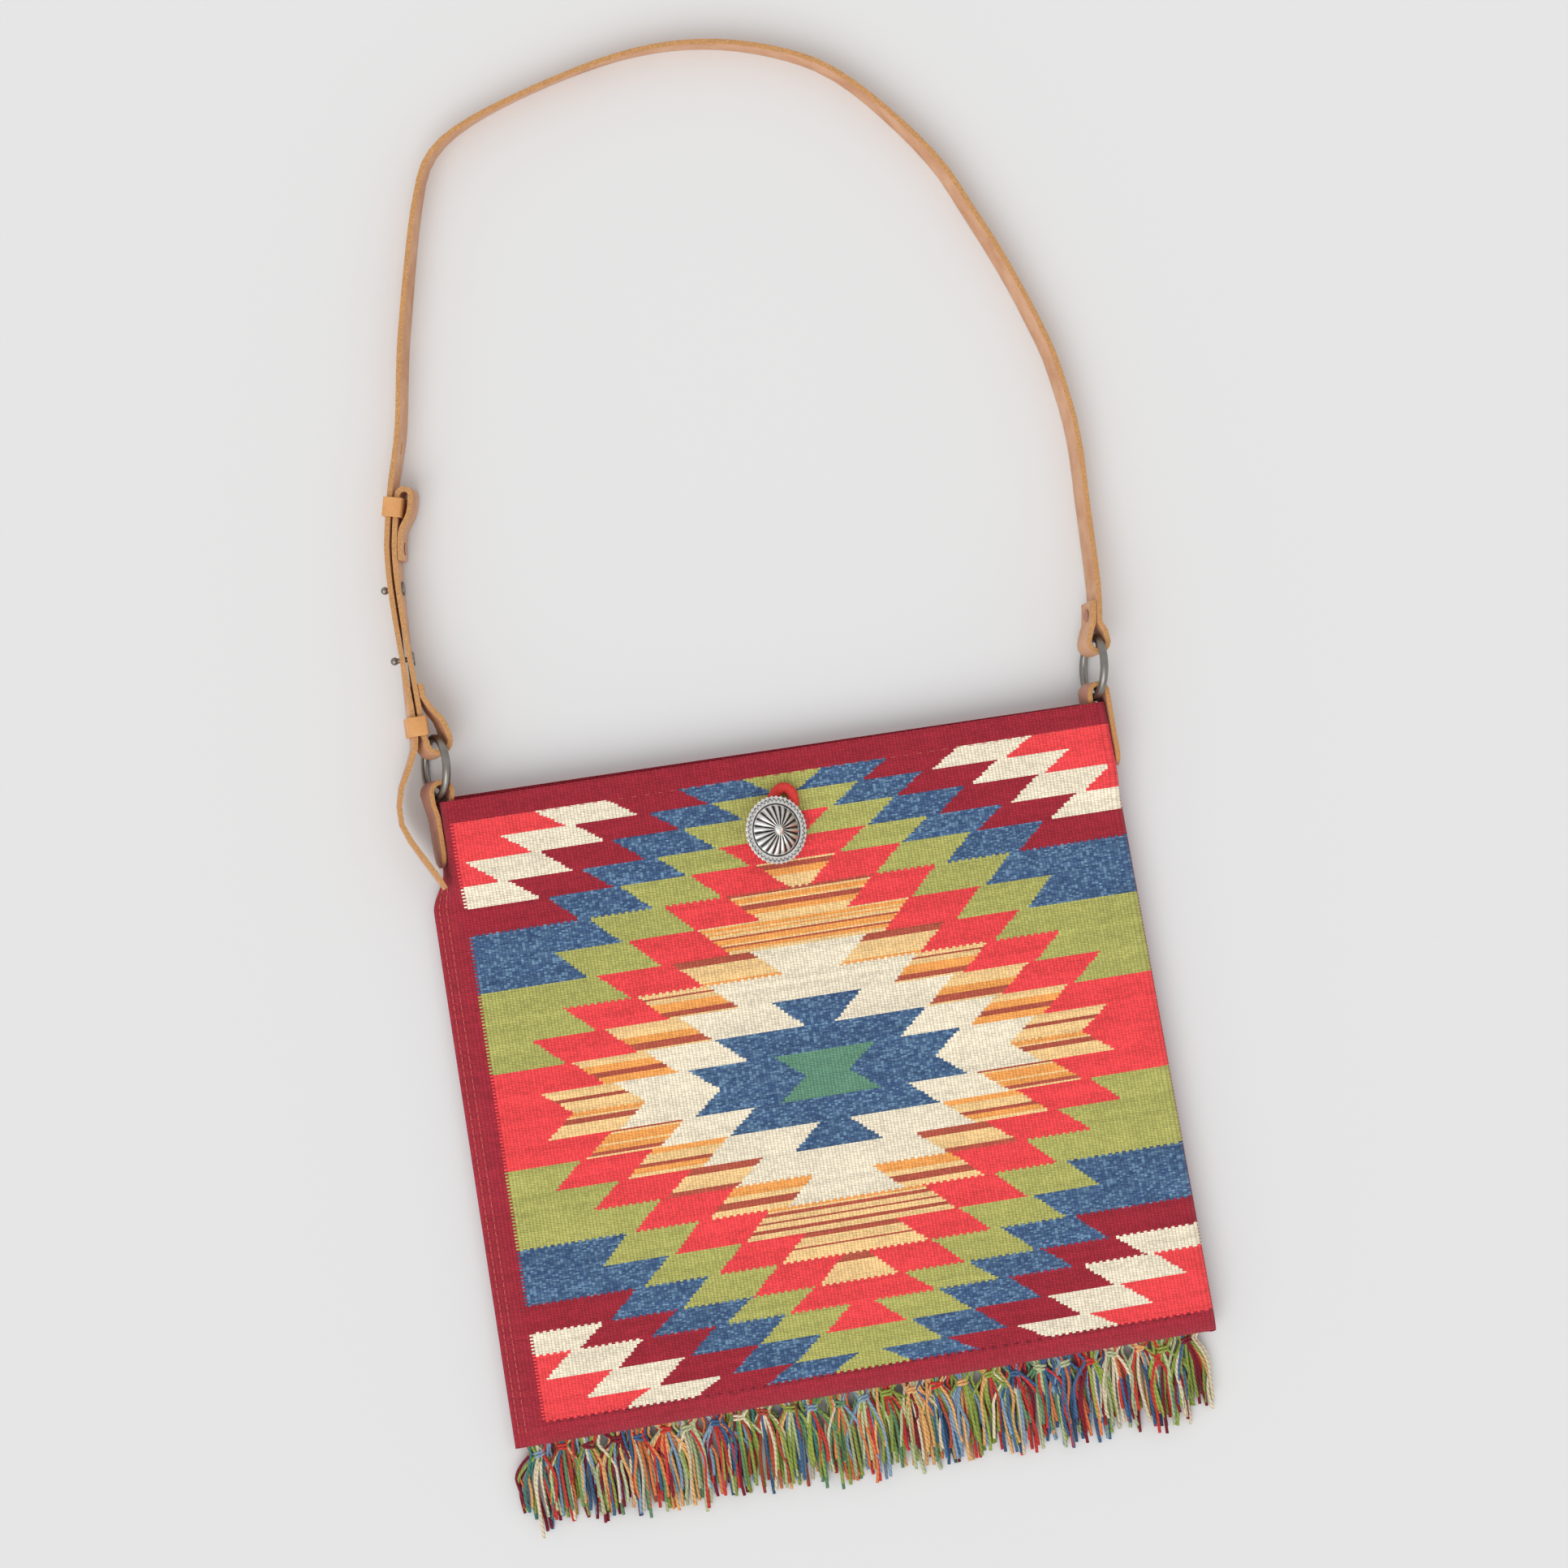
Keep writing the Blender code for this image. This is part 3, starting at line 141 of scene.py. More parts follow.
def new_piece(name, points, faces, material, uvs=None, dyes=None, smooth=None):
    """One piece from points in millimetres, with its UVs and its colour for each face."""
    mesh = bpy.data.meshes.new(name)
    mesh.from_pydata([mm(*point) for point in points], [], faces)
    if uvs is not None:
        layer = mesh.uv_layers.new(name="weave")
        for face, corners in zip(mesh.polygons, uvs):
            for loop, corner in zip(face.loop_indices, corners):
                layer.data[loop].uv = corner
    if dyes is not None:
        layer = mesh.color_attributes.new("dye", "FLOAT_COLOR", "CORNER")
        for face, dye in zip(mesh.polygons, dyes):
            for loop in face.loop_indices:
                layer.data[loop].color = dye
    mesh.materials.append(material)
    if smooth is not None:
        mesh.shade_smooth()
        mesh.set_sharp_from_angle(angle=math.radians(smooth))
    mesh.validate()
    return shown(name, mesh)


def face_outwards(piece):
    """Turns a closed piece's faces outwards."""
    shape = bmesh.new()
    shape.from_mesh(piece.data)
    bmesh.ops.recalc_face_normals(shape, faces=shape.faces)
    if shape.calc_volume(signed=True) < 0:
        bmesh.ops.reverse_faces(shape, faces=shape.faces)
    shape.to_mesh(piece.data)
    shape.free()


def catmull(a, b, c, d, t):
    """A point on the smooth curve from b to c."""
    bend, twist = 2 * a - 5 * b + 4 * c - d, 3 * b - a - 3 * c + d
    return 0.5 * (2 * b + (c - a) * t + bend * t * t + twist * t ** 3)


# Sizes and colours a user may change

def measure(name, about, default, low, high):
    return FloatProperty(name=name, description=about, default=default, unit="LENGTH", min=low, max=high)


def dyed(name, about, code):
    return FloatVectorProperty(name=name, description=about, subtype="COLOR", size=4, default=linear(code))


class BagSettings(bpy.types.PropertyGroup):
    rib: measure("Warp rib", "Width of one warp rib of the weave", 0.0017, 0.001, 0.01)
    pick: measure("Weft step", "Height of one step of weft", 0.00085, 0.0005, 0.01)
    yarn: measure("Fringe yarn", "Thickness of one fringe yarn", 0.0016, 0.0004, 0.004)
    yarns: IntProperty(name="Yarns a tassel", description="Yarns in one tassel", default=24, min=4, max=40)
    stitch: measure("Stitch", "Length of one running stitch", 0.0023, 0.001, 0.01)


class DyeSettings(bpy.types.PropertyGroup):
    maroon: dyed("Maroon", "Dye of hems and back", "#A82B3A")
    red: dyed("Red", "Madder red dye", "#FB4C50")
    cream: dyed("Cream", "Undyed wool", "#FBEED4")
    blue: dyed("Blue", "Indigo dye", "#3E5981")
    pale_blue: dyed("Pale blue", "Flecks in the indigo", "#7FA3C0")
    green: dyed("Green", "Olive green dye", "#B9B868")
    orange: dyed("Orange", "Pale orange dye", "#FFD596")
    amber: dyed("Amber", "Deeper stripes in the orange", "#FFAC5C")
    rust: dyed("Rust", "Dark stripes in the orange", "#BC5B48")
    teal: dyed("Teal", "Dye of the centre", "#68967C")


# The bag's outline, as in the solids

BAG_TOP_WIDTH = 332.0
BAG_BOTTOM_WIDTH = 350.0
BAG_HEIGHT = 318.0
BAG_DEPTH = 17.0
CORNER_DEPTH = 23.4
CLOTH = 2.6
RIM = 7.2
BACK_RIM = 1.7
TOP_HEM = 11.0
BOTTOM_HEM = 12.2
BOTTOM_ROLL = 16.0
BOTTOM_SLOPE = 0.0176
BACK_RISE = 1.3
CORNER_SPREAD = 26.0
TAB_REACH = 33.0
BELOW_TAB = 20.0
SIDE_BULGE = 7.6
# How far the seams are out from, or in from, half the bag's width
LEFT_OUT = 2.9
RIGHT_IN = 0.8
# Slight unevenness of the front's cloth
UNEVEN = 0.22
LEFT_TABBED = ((0, RIM), (1.9, 12), (3.9, 16.9), (5.3, 20.4), (8.2, CORNER_DEPTH))
LEFT_OPEN = ((0, RIM), (4, 10.2), (8, 12.6), (12, 14.8), (16, 16.2))
RIGHT_TABBED = ((-3.0, RIM), (-1.9, 12), (-0.8, 16.9), (0, 20), (-4.5, CORNER_DEPTH))
RIGHT_OPEN = ((-3.2, RIM), (-0.9, 9.6), (0, 12.6), (-1.3, 15.4), (-5.0, 17.2))


def height_y(v):
    """Y at a share v of the height, on the middle line."""
    return (v - 0.5) * BAG_HEIGHT


def surface_y(x, v):
    """Y at a share of the height, with the bottom edge's slight slope."""
    return height_y(v) + BOTTOM_SLOPE * x * (1 - v)


def below_tab(v):
    return smooth_step((BAG_HEIGHT / 2 - TAB_REACH - height_y(v)) / BELOW_TAB)


def bottom_roll(v):
    return math.sqrt(1 - (1 - min(v * BAG_HEIGHT / BOTTOM_ROLL, 1)) ** 2)


def left_edge(v):
    """X of the left seam: it bulges below the tab."""
    straight = -blend(BAG_BOTTOM_WIDTH, BAG_TOP_WIDTH, v) / 2
    upright = -BAG_TOP_WIDTH / 2 - LEFT_OUT
    return blend(upright, min(straight - 0.6, upright - SIDE_BULGE), below_tab(v))


def right_edge(v):
    return blend(BAG_BOTTOM_WIDTH, BAG_TOP_WIDTH, v) / 2 - RIGHT_IN


def side_profile(edge, v, tabbed, open_side):
    """Places across one side of the front, from its seam to its shoulder."""
    down = below_tab(v)
    found = []
    for (a, high), (b, low) in zip(tabbed, open_side):
        height = RIM + (blend(high, low, down) - RIM) * bottom_roll(v)
        found.append(Vector((edge + blend(a, b, down), 0, height)))
    return found


def left_profile(v):
    return side_profile(left_edge(v), v, LEFT_TABBED, LEFT_OPEN)


def right_profile(v):
    return side_profile(right_edge(v), v, RIGHT_TABBED, RIGHT_OPEN)


def front_height(x, v):
    """Height of the front's outer face between its shoulders."""
    left, right = left_profile(v)[-1], right_profile(v)[-1]
    wave = 0.5 * math.sin(x / 47.0 + 0.6) * math.cos(height_y(v) / 61.0)
    middle = RIM + (BAG_DEPTH + wave - RIM) * bottom_roll(v)
    low = (left.z - middle) * math.exp(-max(x - left.x, 0) / CORNER_SPREAD)
    high = (right.z - middle) * math.exp(-max(right.x - x, 0) / CORNER_SPREAD)
    return middle + low + high


def on_profile(row, part):
    """A place on the smooth line through a side's profile, part from 0 to 1."""
    row = [row[0] * 2 - row[1]] + row + [row[-1] * 2 - row[-2]]
    at = min(part, 0.99999) * (len(row) - 3)
    i = int(at)
    return catmull(*row[i:i + 4], at - i)


# The weave's fields of colour, by the rule of the stepped diamonds

PATTERN_SHIFT = 3.9
# Half widths at which the fields may end on a band's wide line, from the middle outwards
COLUMNS = (20.0, 36.5, 52.5, 68.0, 87.5, 105.0, 123.5, 141.0, 159.5)
# The band, counted from the middle one, from which each ring ends before the side
RING_STARTS = (0, 0, 0, 0, 2, 5, 7, 8, 9)
# Half widths of the last field of the three inner rings
RING_TIPS = (25.4, 22.1, 29.0)
RING_DYES = ("teal", "blue", "cream", "orange", "red", "green", "blue", "maroon", "cream", "red")
FIELD_SLANT = 14.6
BANDS_ABOVE = (11.7, 12.7, 13.3, 13.6, 12.8, 14.7, 14.0, 13.1, 11.2, 11.6, 10.4, 9.4)
BANDS_BELOW = (11.5, 12.0, 12.7, 12.1, 13.6, 14.1, 13.1, 13.6, 11.1, 12.4, 11.7, 8.4)
# The orange bands pick by pick, outwards from the middle: o is pale orange, a is amber and r is rust
STRIPES = {"o": "orange", "a": "amber", "r": "rust"}
DRAFT_ABOVE = ("ooooorroooo", "aaarraaaooo", "orrraaaooooo", "orraaaaooroo", "aooooooorrr", "ooaroaaroaoao",
               "oooaarroaaor", "oooooaaarro")
DRAFT_BELOW = ("aaorroooooo", "roaaaaoaarro", "aaoooorraaoo", "rrroooooorr", "aaaaoorrroo", "aoroorooroo",
               "rroooorooooo", "rrroooooooo")


def band_lines():
    """The lines between the bands from the bottom up, and for each band its rank, counted from the middle,
    and whether it is above the middle."""
    beat = (BAG_HEIGHT - TOP_HEM - BOTTOM_HEM) / (sum(BANDS_ABOVE) + sum(BANDS_BELOW))
    above = [BAG_HEIGHT / 2 - TOP_HEM - beat * sum(BANDS_ABOVE[i:]) for i in range(len(BANDS_ABOVE) + 1)]
    below = [above[0] - beat * sum(BANDS_BELOW[:i]) for i in range(1, len(BANDS_BELOW) + 1)]
    ranks = [(i, False) for i in reversed(range(len(BANDS_BELOW)))]
    ranks += [(i, True) for i in range(len(BANDS_ABOVE))]
    return list(reversed(below)) + above, ranks


def ring_edges(rank):
    """Half widths of the rings on a band's wide line, past the side where a ring doesn't end."""
    edges = []
    for ring, first in enumerate(RING_STARTS):
        column = 2 * ring + 1 - rank
        edge = BAG_BOTTOM_WIDTH
        if rank >= first:
            edge = COLUMNS[column] if column >= 0 else 0
        if ring < len(RING_TIPS) and column < 2:
            edge = RING_TIPS[ring] if column == 1 else 0
        edges.append(edge)
    return edges


def field_at(x, y, tooth, lines, ranks):
    """The dye of the weave at one place, its borders a tooth up or down and its stripes level."""
    if y + tooth < lines[0] or y + tooth >= lines[-1]:
        return "maroon"
    band = max(i for i, line in enumerate(lines[:-1]) if line <= y + tooth)
    rank, above = ranks[band]
    part = min(max((y - lines[band]) / (lines[band + 1] - lines[band]), 0), 1)
    outwards = part if above else 1 - part
    away = abs(x - PATTERN_SHIFT) + FIELD_SLANT * (1 - outwards)
    edges = ring_edges(rank)
    dye = next((dye for dye, edge in zip(RING_DYES, edges) if away < edge), RING_DYES[-1])
    if dye != "orange":
        return dye
    draft = (DRAFT_ABOVE if above else DRAFT_BELOW)[rank]
    return STRIPES[draft[min(int(outwards * len(draft)), len(draft) - 1)]]


# Materials

# Length of yarn in which its two plies turn once
PLY_TURN = 0.0052


def grain(tree, scale, detail=3.0, roughness=0.5, vector=None):
    """Noise on Object coordinates, its scale in features a metre."""
    place = vector or add(tree, "ShaderNodeTexCoord").outputs["Object"]
    return add(tree, "ShaderNodeTexNoise", in_Vector=place, in_Scale=scale, in_Detail=detail,
               in_Roughness=roughness).outputs["Fac"]


def spread(tree, value, low, high, to_low, to_high):
    """A value's range turned into another."""
    return add(tree, "ShaderNodeMapRange", in_0=value, in_1=low, in_2=high, in_3=to_low,
               in_4=to_high).outputs[0]


def tinted(tree, colour, factor):
    """A colour made darker or lighter by a factor."""
    return add(tree, "ShaderNodeMix", {"data_type": "RGBA", "blend_type": "MULTIPLY"}, in_0=1.0, in_6=colour,
               in_7=factor).outputs[2]


def attribute(tree, name, output="Fac"):
    return add(tree, "ShaderNodeAttribute", {"attribute_name": name}).outputs[output]


def two_colours(tree, part, first, second):
    return add(tree, "ShaderNodeMix", {"data_type": "RGBA"}, in_0=part, in_6=first, in_7=second).outputs[2]


def cell_dye(tree):
    return add(tree, "ShaderNodeVertexColor", {"layer_name": "dye"}).outputs["Color"]


def bumped(tree, height, distance, strength):
    return add(tree, "ShaderNodeBump", in_Height=height, in_Distance=distance,
               in_Strength=strength).outputs[0]


def wool_tapestry(name):
    """Weft-faced wool tapestry: spun weft beaten over cotton warp. To the eye it is matte, with upright
    ribs and short level dashes of yarn. Its dye is painted darker in the valleys between ribs and threads
    and lighter on their crowns, as painted shade and painted highlight. The UVs count ribs across and
    weft steps upwards."""
    made, tree, shader = new_material(name)
    uv = add(tree, "ShaderNodeSeparateXYZ", in_0=add(tree, "ShaderNodeUVMap", {"uv_map": "weave"}).outputs[0])
    across, up = uv.outputs[0], uv.outputs[1]
    rib_part = math_node(tree, "FRACT", across)
    rib = math_node(tree, "SINE", times(tree, rib_part, math.pi))
    odd = math_node(tree, "MODULO", math_node(tree, "FLOOR", across), 2.0)
    level = plus(tree, plus(tree, up, times(tree, odd, 0.5)), times(tree, rib_part, 0.35))
    thread = math_node(tree, "ABSOLUTE", math_node(tree, "SINE", times(tree, level, math.pi)))
    round_rib = times(tree, math_node(tree, "POWER", rib, 0.5), 0.34)
    round_thread = times(tree, math_node(tree, "POWER", thread, 0.7), 0.40)
    fluff = times(tree, grain(tree, 1500.0, 2.0), 0.30)
    height = plus(tree, plus(tree, round_rib, round_thread), fluff)
    # Painted shade in the weave's valleys and painted highlight on its crowns, from the thread height
    shade = spread(tree, height, 0.28, 0.88, 0.44, 1.22)
    patchy = spread(tree, grain(tree, 55.0, 4.0), 0.3, 0.7, 0.94, 1.06)
    feed(tree, shader, in_Base_Color=tinted(tree, cell_dye(tree), times(tree, shade, patchy)),
         in_Roughness=0.92, in_Sheen_Weight=0.08, in_Sheen_Roughness=0.6, in_Specular_IOR_Level=0.15,
         in_Normal=bumped(tree, height, 0.0006, 0.9))
    return made


def spun_wool(name):
    """Two-ply wool yarn, matte, in the dye of each strand, painted darker in the grooves between its plies
    and a little lighter on their crowns, as painted shade and highlight. The attribute 'round' points away
    from the yarn's middle and 'along' runs down it in metres, so the plies turn once in each ply turn."""
    made, tree, shader = new_material(name)
    away = add(tree, "ShaderNodeSeparateXYZ", in_0=attribute(tree, "round", "Vector")).outputs
    turned = times(tree, attribute(tree, "along"), math.tau / PLY_TURN)
    turn = plus(tree, math_node(tree, "ARCTAN2", away[1], away[0]), turned)
    ply = math_node(tree, "ABSOLUTE", math_node(tree, "SINE", turn))
    round_ply = times(tree, math_node(tree, "POWER", ply, 0.6), 0.7)
    height = plus(tree, round_ply, times(tree, grain(tree, 1800.0, 2.0), 0.4))
    # Painted shade in the grooves between the plies and painted highlight on their crowns, from the ply
    # height
    shade = spread(tree, height, 0.15, 1.0, 0.62, 1.10)
    feed(tree, shader, in_Base_Color=tinted(tree, cell_dye(tree), shade), in_Roughness=0.95,
         in_Sheen_Weight=0.08, in_Specular_IOR_Level=0.1, in_Normal=bumped(tree, height, 0.0005, 0.9))
    return made


def tanned_leather(name, face, cut, stain):
    """Vegetable-tanned leather, waxed: satin faces with pores and stains, and drier cut edges that
    show golden fibre. The attribute 'cut' is 1 on a cut edge."""
    made, tree, shader = new_material(name)
    place = add(tree, "ShaderNodeTexCoord").outputs["Object"]
    edge = attribute(tree, "cut")
    cloud = spread(tree, grain(tree, 60.0, 5.0, 0.6, place), 0.35, 0.68, 0.0, 1.0)
    fibre = grain(tree, 1400.0, 3.0, 0.6, place)
    skin = two_colours(tree, cloud, linear(face), linear(stain))
    rim = tinted(tree, linear(cut), spread(tree, fibre, 0.3, 0.7, 0.72, 1.15))
    fine = spread(tree, fibre, 0.3, 0.7, 0.94, 1.05)
    pores = add(tree, "ShaderNodeTexVoronoi", {"feature": "DISTANCE_TO_EDGE"}, in_Vector=place,
                in_Scale=1300.0).outputs["Distance"]
    height = plus(tree, times(tree, pores, 0.5), fibre)
    rough = plus(tree, spread(tree, cloud, 0.0, 1.0, 0.50, 0.62), times(tree, edge, 0.2))
    feed(tree, shader, in_Base_Color=tinted(tree, two_colours(tree, edge, skin, rim), fine),
         in_Roughness=rough, in_Normal=bumped(tree, height, 0.00012, 0.7))
    return made


def aged_metal(name, bright, dark, rough):
    """Cast metal with an antique finish: bright where it is rubbed and dark in its recesses. The
    attribute 'recess' is 1 where it lies deep."""
    made, tree, shader = new_material(name)
    cloud = spread(tree, grain(tree, 260.0, 4.0, 0.6), 0.35, 0.7, 0.0, 0.22)
    dirt = add(tree, "ShaderNodeMath", {"operation": "ADD", "use_clamp": True},
               in_0=attribute(tree, "recess"), in_1=cloud).outputs[0]
    feed(tree, shader, in_Base_Color=two_colours(tree, dirt, linear(bright), linear(dark)), in_Metallic=1.0,
         in_Roughness=spread(tree, dirt, 0.0, 1.0, rough, rough + 0.25),
         in_Normal=bumped(tree, grain(tree, 2400.0, 3.0), 0.00004, 0.6))
    return made


def sewing_thread(name, code):
    """Waxed sewing thread, laid in short stitches."""
    made, tree, shader = new_material(name)
    shade = spread(tree, grain(tree, 1600.0, 2.0), 0.3, 0.7, 0.8, 1.1)
    feed(tree, shader, in_Base_Color=tinted(tree, linear(code), shade), in_Roughness=0.8)
    return made


# Each finish's maker and colours
FINISHES = {
    "wool tapestry": (wool_tapestry,),
    "spun wool yarn": (spun_wool,),
    "strap leather": (tanned_leather, "#DAA883", "#CC965F", "#C68E66"),
    "tab leather": (tanned_leather, "#C08972", "#C78F55", "#A87460"),
    "keeper leather": (tanned_leather, "#E6A867", "#D6974F", "#CF8E53"),
    "antique nickel": (aged_metal, "#8E8A84", "#474440", 0.32),
    "antique silver": (aged_metal, "#F4F2EE", "#1D1A18", 0.24),
    "red cord": (sewing_thread, "#E83F39"),
    "coral thread": (sewing_thread, "#D4665C"),
    "maroon thread": (sewing_thread, "#6E1A2C"),
}


def material(name):
    """One of the bag's finishes, made once."""
    maker, *values = FINISHES[name]
    return bpy.data.materials.get(name) or maker(name, *values)


# Woven panels

# How pale a cell in the blue may be
BLUE_FLECKS = (0.0, 0.15, 0.30, 0.75)
# Ribs on the rolled left side and on the right side's turn
SIDE_RIBS = 8
TURN_RIBS = 6
# The front's colour streaks are this many picks high, and its inner face has one point in so many
STREAK = 3
INNER_STEP = 6
BACK_ROWS = 150
BACK_COLUMNS = 166
# Rib and weft step on a panel's inner face and edges
INNER_RIB = 1.7
INNER_PICK = 0.85


def stitched(first, second):
    """Triangles between two rows of point numbers that run the same way."""
    faces = []
    i = j = 0
    while i < len(first) - 1 or j < len(second) - 1:
        step_first = j == len(second) - 1 or (
            i < len(first) - 1 and (i + 1) / (len(first) - 1) <= (j + 1) / (len(second) - 1))
        if step_first:
            faces.append((first[i], first[i + 1], second[j]))
            i += 1
        else:
            faces.append((first[i], second[j + 1], second[j]))
            j += 1
    return faces


def shade_of(colour, light):
    """A dye made darker or lighter."""
    return (colour[0] * light, colour[1] * light, colour[2] * light, 1.0)


def dye_of(dyes, name, rng, shift):
    """The colour of one cell of the weave, with pale flecks in the blue."""
    colour = tuple(getattr(dyes, name))
    if name == "blue":
        colour = mixed(colour, dyes.pale_blue, rng.choice(BLUE_FLECKS) * rng.uniform(0.6, 1.0))
    return shade_of(colour, 1 + shift + rng.uniform(-0.13, 0.13))


def closed_cloth(name, grid, dyes, uvs, stride):
    """A closed sheet from a grid of outer points, with a coarser inner face a cloth's thickness away."""
    rows, columns = len(grid), len(grid[0])
    points = [place for row in grid for place in row]
    faces, colours, corners = [], [], []
    for i in range(rows - 1):
        for j in range(columns - 1):
            a, d = i * columns + j, (i + 1) * columns + j
            faces.append((a, a + 1, d + 1, d))
            colours.append(dyes(i, j))
            corners.append((uvs(i, j), uvs(i, j + 1), uvs(i + 1, j + 1), uvs(i + 1, j)))
    picked_rows = list(range(0, rows - 1, stride)) + [rows - 1]
    picked_columns = list(range(0, columns - 1, stride)) + [columns - 1]
    inner = []
    for i in picked_rows:
        found = []
        for j in picked_columns:
            here = grid[i][j]
            across = grid[i][min(j + 1, columns - 1)] - grid[i][max(j - 1, 0)]
            upward = grid[min(i + 1, rows - 1)][j] - grid[max(i - 1, 0)][j]
            inward = across.cross(upward).normalized() * -CLOTH
            if i in (0, rows - 1):
                inward.y = 0
            found.append(len(points))
            points.append(here + inward)
        inner.append(found)
    plain = dyes(0, 0)
    start = len(faces)
    for low, high in zip(inner, inner[1:]):
        for j in range(len(low) - 1):
            faces.append((low[j], high[j], high[j + 1], low[j + 1]))
    faces += stitched(list(range(columns)), inner[0])
    faces += stitched([(rows - 1) * columns + j for j in range(columns)], inner[-1])
    faces += stitched([i * columns for i in range(rows)], [row[0] for row in inner])
    faces += stitched([i * columns + columns - 1 for i in range(rows)], [row[-1] for row in inner])
    for face in faces[start:]:
        colours.append(plain)
        corners.append([(points[k].x / INNER_RIB, points[k].y / INNER_PICK) for k in face])
    made = new_piece(name, points, faces, material("wool tapestry"), corners, colours, smooth=60)
    face_outwards(made)
    return made


def front_grid(ribs, heights):
    """Outer points of the front, rows upwards and columns across, one column a warp rib."""
    grid = []
    for v in heights:
        left, right = left_profile(v), right_profile(v)
        row = [on_profile(left, j / SIDE_RIBS) for j in range(SIDE_RIBS)]
        low, high = left[-1].x, right[-1].x
        row += [Vector((blend(low, high, j / ribs), 0, front_height(blend(low, high, j / ribs), v)))
                for j in range(ribs + 1)]
        row += [on_profile(right, 1 - j / TURN_RIBS) for j in range(1, TURN_RIBS + 1)]
        for j, place in enumerate(row):
            place.y = surface_y(place.x, v)
            place.z += UNEVEN * noise.noise(Vector((place.x / 17, place.y / 23, 0)))
        grid.append(row)
    return grid


class BAG_OT_front(bpy.types.Operator):
    """Weave the front panel in its stepped diamonds"""

    bl_idname = "bag.front"
    bl_label = "Front panel"

    def execute(self, context):
        sizes, dyes = context.scene.bag_sizes, context.scene.bag_dyes
        rng = random.Random(4)
        rib, pick = sizes.rib * 1000, sizes.pick * 1000
        lines, ranks = band_lines()
        ribs = round((right_profile(0.5)[-1].x - left_profile(0.5)[-1].x) / rib)
        count = round(BAG_HEIGHT / pick)
        heights = [i / count for i in range(count + 1)]
        grid = front_grid(ribs, heights)
        shifts = {}

        def dye(i, j):
            v = (heights[i] + heights[i + 1]) / 2
            place = (grid[i][j] + grid[i + 1][j + 1]) / 2
            name = field_at(place.x, height_y(v), (0.25 if j % 2 else -0.25) * pick, lines, ranks)
            comb = 1 if i % 2 else 0
            if j < SIDE_RIBS + comb or j >= SIDE_RIBS + ribs + TURN_RIBS // 2 - comb:
                name = "maroon"
            key = (i // STREAK, name)
            shifts.setdefault(key, rng.uniform(-0.07, 0.07))
            return dye_of(dyes, name, rng, shifts[key])

        piece = closed_cloth("front_weave", grid, dye, lambda i, j: (j, i), INNER_STEP)
        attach(piece, "bag")
        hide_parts("front_panel")
        return {"FINISHED"}


class BAG_OT_back(bpy.types.Operator):
    """Weave the plain back panel"""

    bl_idname = "bag.back"
    bl_label = "Back panel"

    def execute(self, context):
        dyes = context.scene.bag_dyes
        rng = random.Random(9)
        grid = []
        for i in range(BACK_ROWS + 1):
            v = i / BACK_ROWS
            low, high = left_edge(v), right_profile(v)[0].x
            row = []
            for j in range(BACK_COLUMNS + 1):
                x = blend(low, high, j / BACK_COLUMNS)
                to_seam = min(x - low, high - x, v * BAG_HEIGHT)
                rise = BACK_RISE * smooth_step((v - 0.9) * 10) * (1 - x / BAG_TOP_WIDTH)
                z = BACK_RIM * (1 - smooth_step(to_seam / 9.0)) + CLOTH
                row.append(Vector((x, surface_y(x, v) + rise, z)))
            grid.append(row)

        def dye(i, j):
            return shade_of(dyes.maroon, 1 + rng.uniform(-0.07, 0.07))

        piece = closed_cloth("back_weave", grid, dye, lambda i, j: (j, i * 2), 1)
        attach(piece, "bag")
        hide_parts("back_panel")
        return {"FINISHED"}


# What repeats: stitches and yarns

def node_tree(name, sockets):
    """A Geometry Nodes tree with a mesh in, geometry out, and its named sizes."""
    tree = bpy.data.node_groups.new(name, "GeometryNodeTree")
    tree.interface.new_socket("Geometry", in_out="INPUT", socket_type="NodeSocketGeometry")
    for label, kind in sockets:
        tree.interface.new_socket(label, in_out="INPUT", socket_type=kind)
    tree.interface.new_socket("Geometry", in_out="OUTPUT", socket_type="NodeSocketGeometry")
    return tree, tree.nodes.new("NodeGroupInput"), tree.nodes.new("NodeGroupOutput")


def dress(tree, geometry, finish, end):
    """The last two nodes of a tree: real geometry, in its material."""
    real = add(tree, "GeometryNodeRealizeInstances", in_0=geometry)
    dressed = add(tree, "GeometryNodeSetMaterial", in_0=real.outputs[0], in_Material=finish)
    tree.links.new(dressed.outputs[0], end.inputs[0])


def run_tree(source, tree, values, name):
    """A plain mesh piece from a tree run on a source object, which then goes."""
    modifier = source.modifiers.new("make", "NODES")
    modifier.node_group = tree
    for item in tree.interface.items_tree:
        if item.item_type == "SOCKET" and item.in_out == "INPUT" and item.name in values:
            modifier[item.identifier] = values[item.name]
    depsgraph = bpy.context.evaluated_depsgraph_get()
    mesh = bpy.data.meshes.new_from_object(source.evaluated_get(depsgraph), depsgraph=depsgraph)
    mesh.name = name
    bpy.data.objects.remove(source, do_unlink=True)
    return shown(name, mesh)


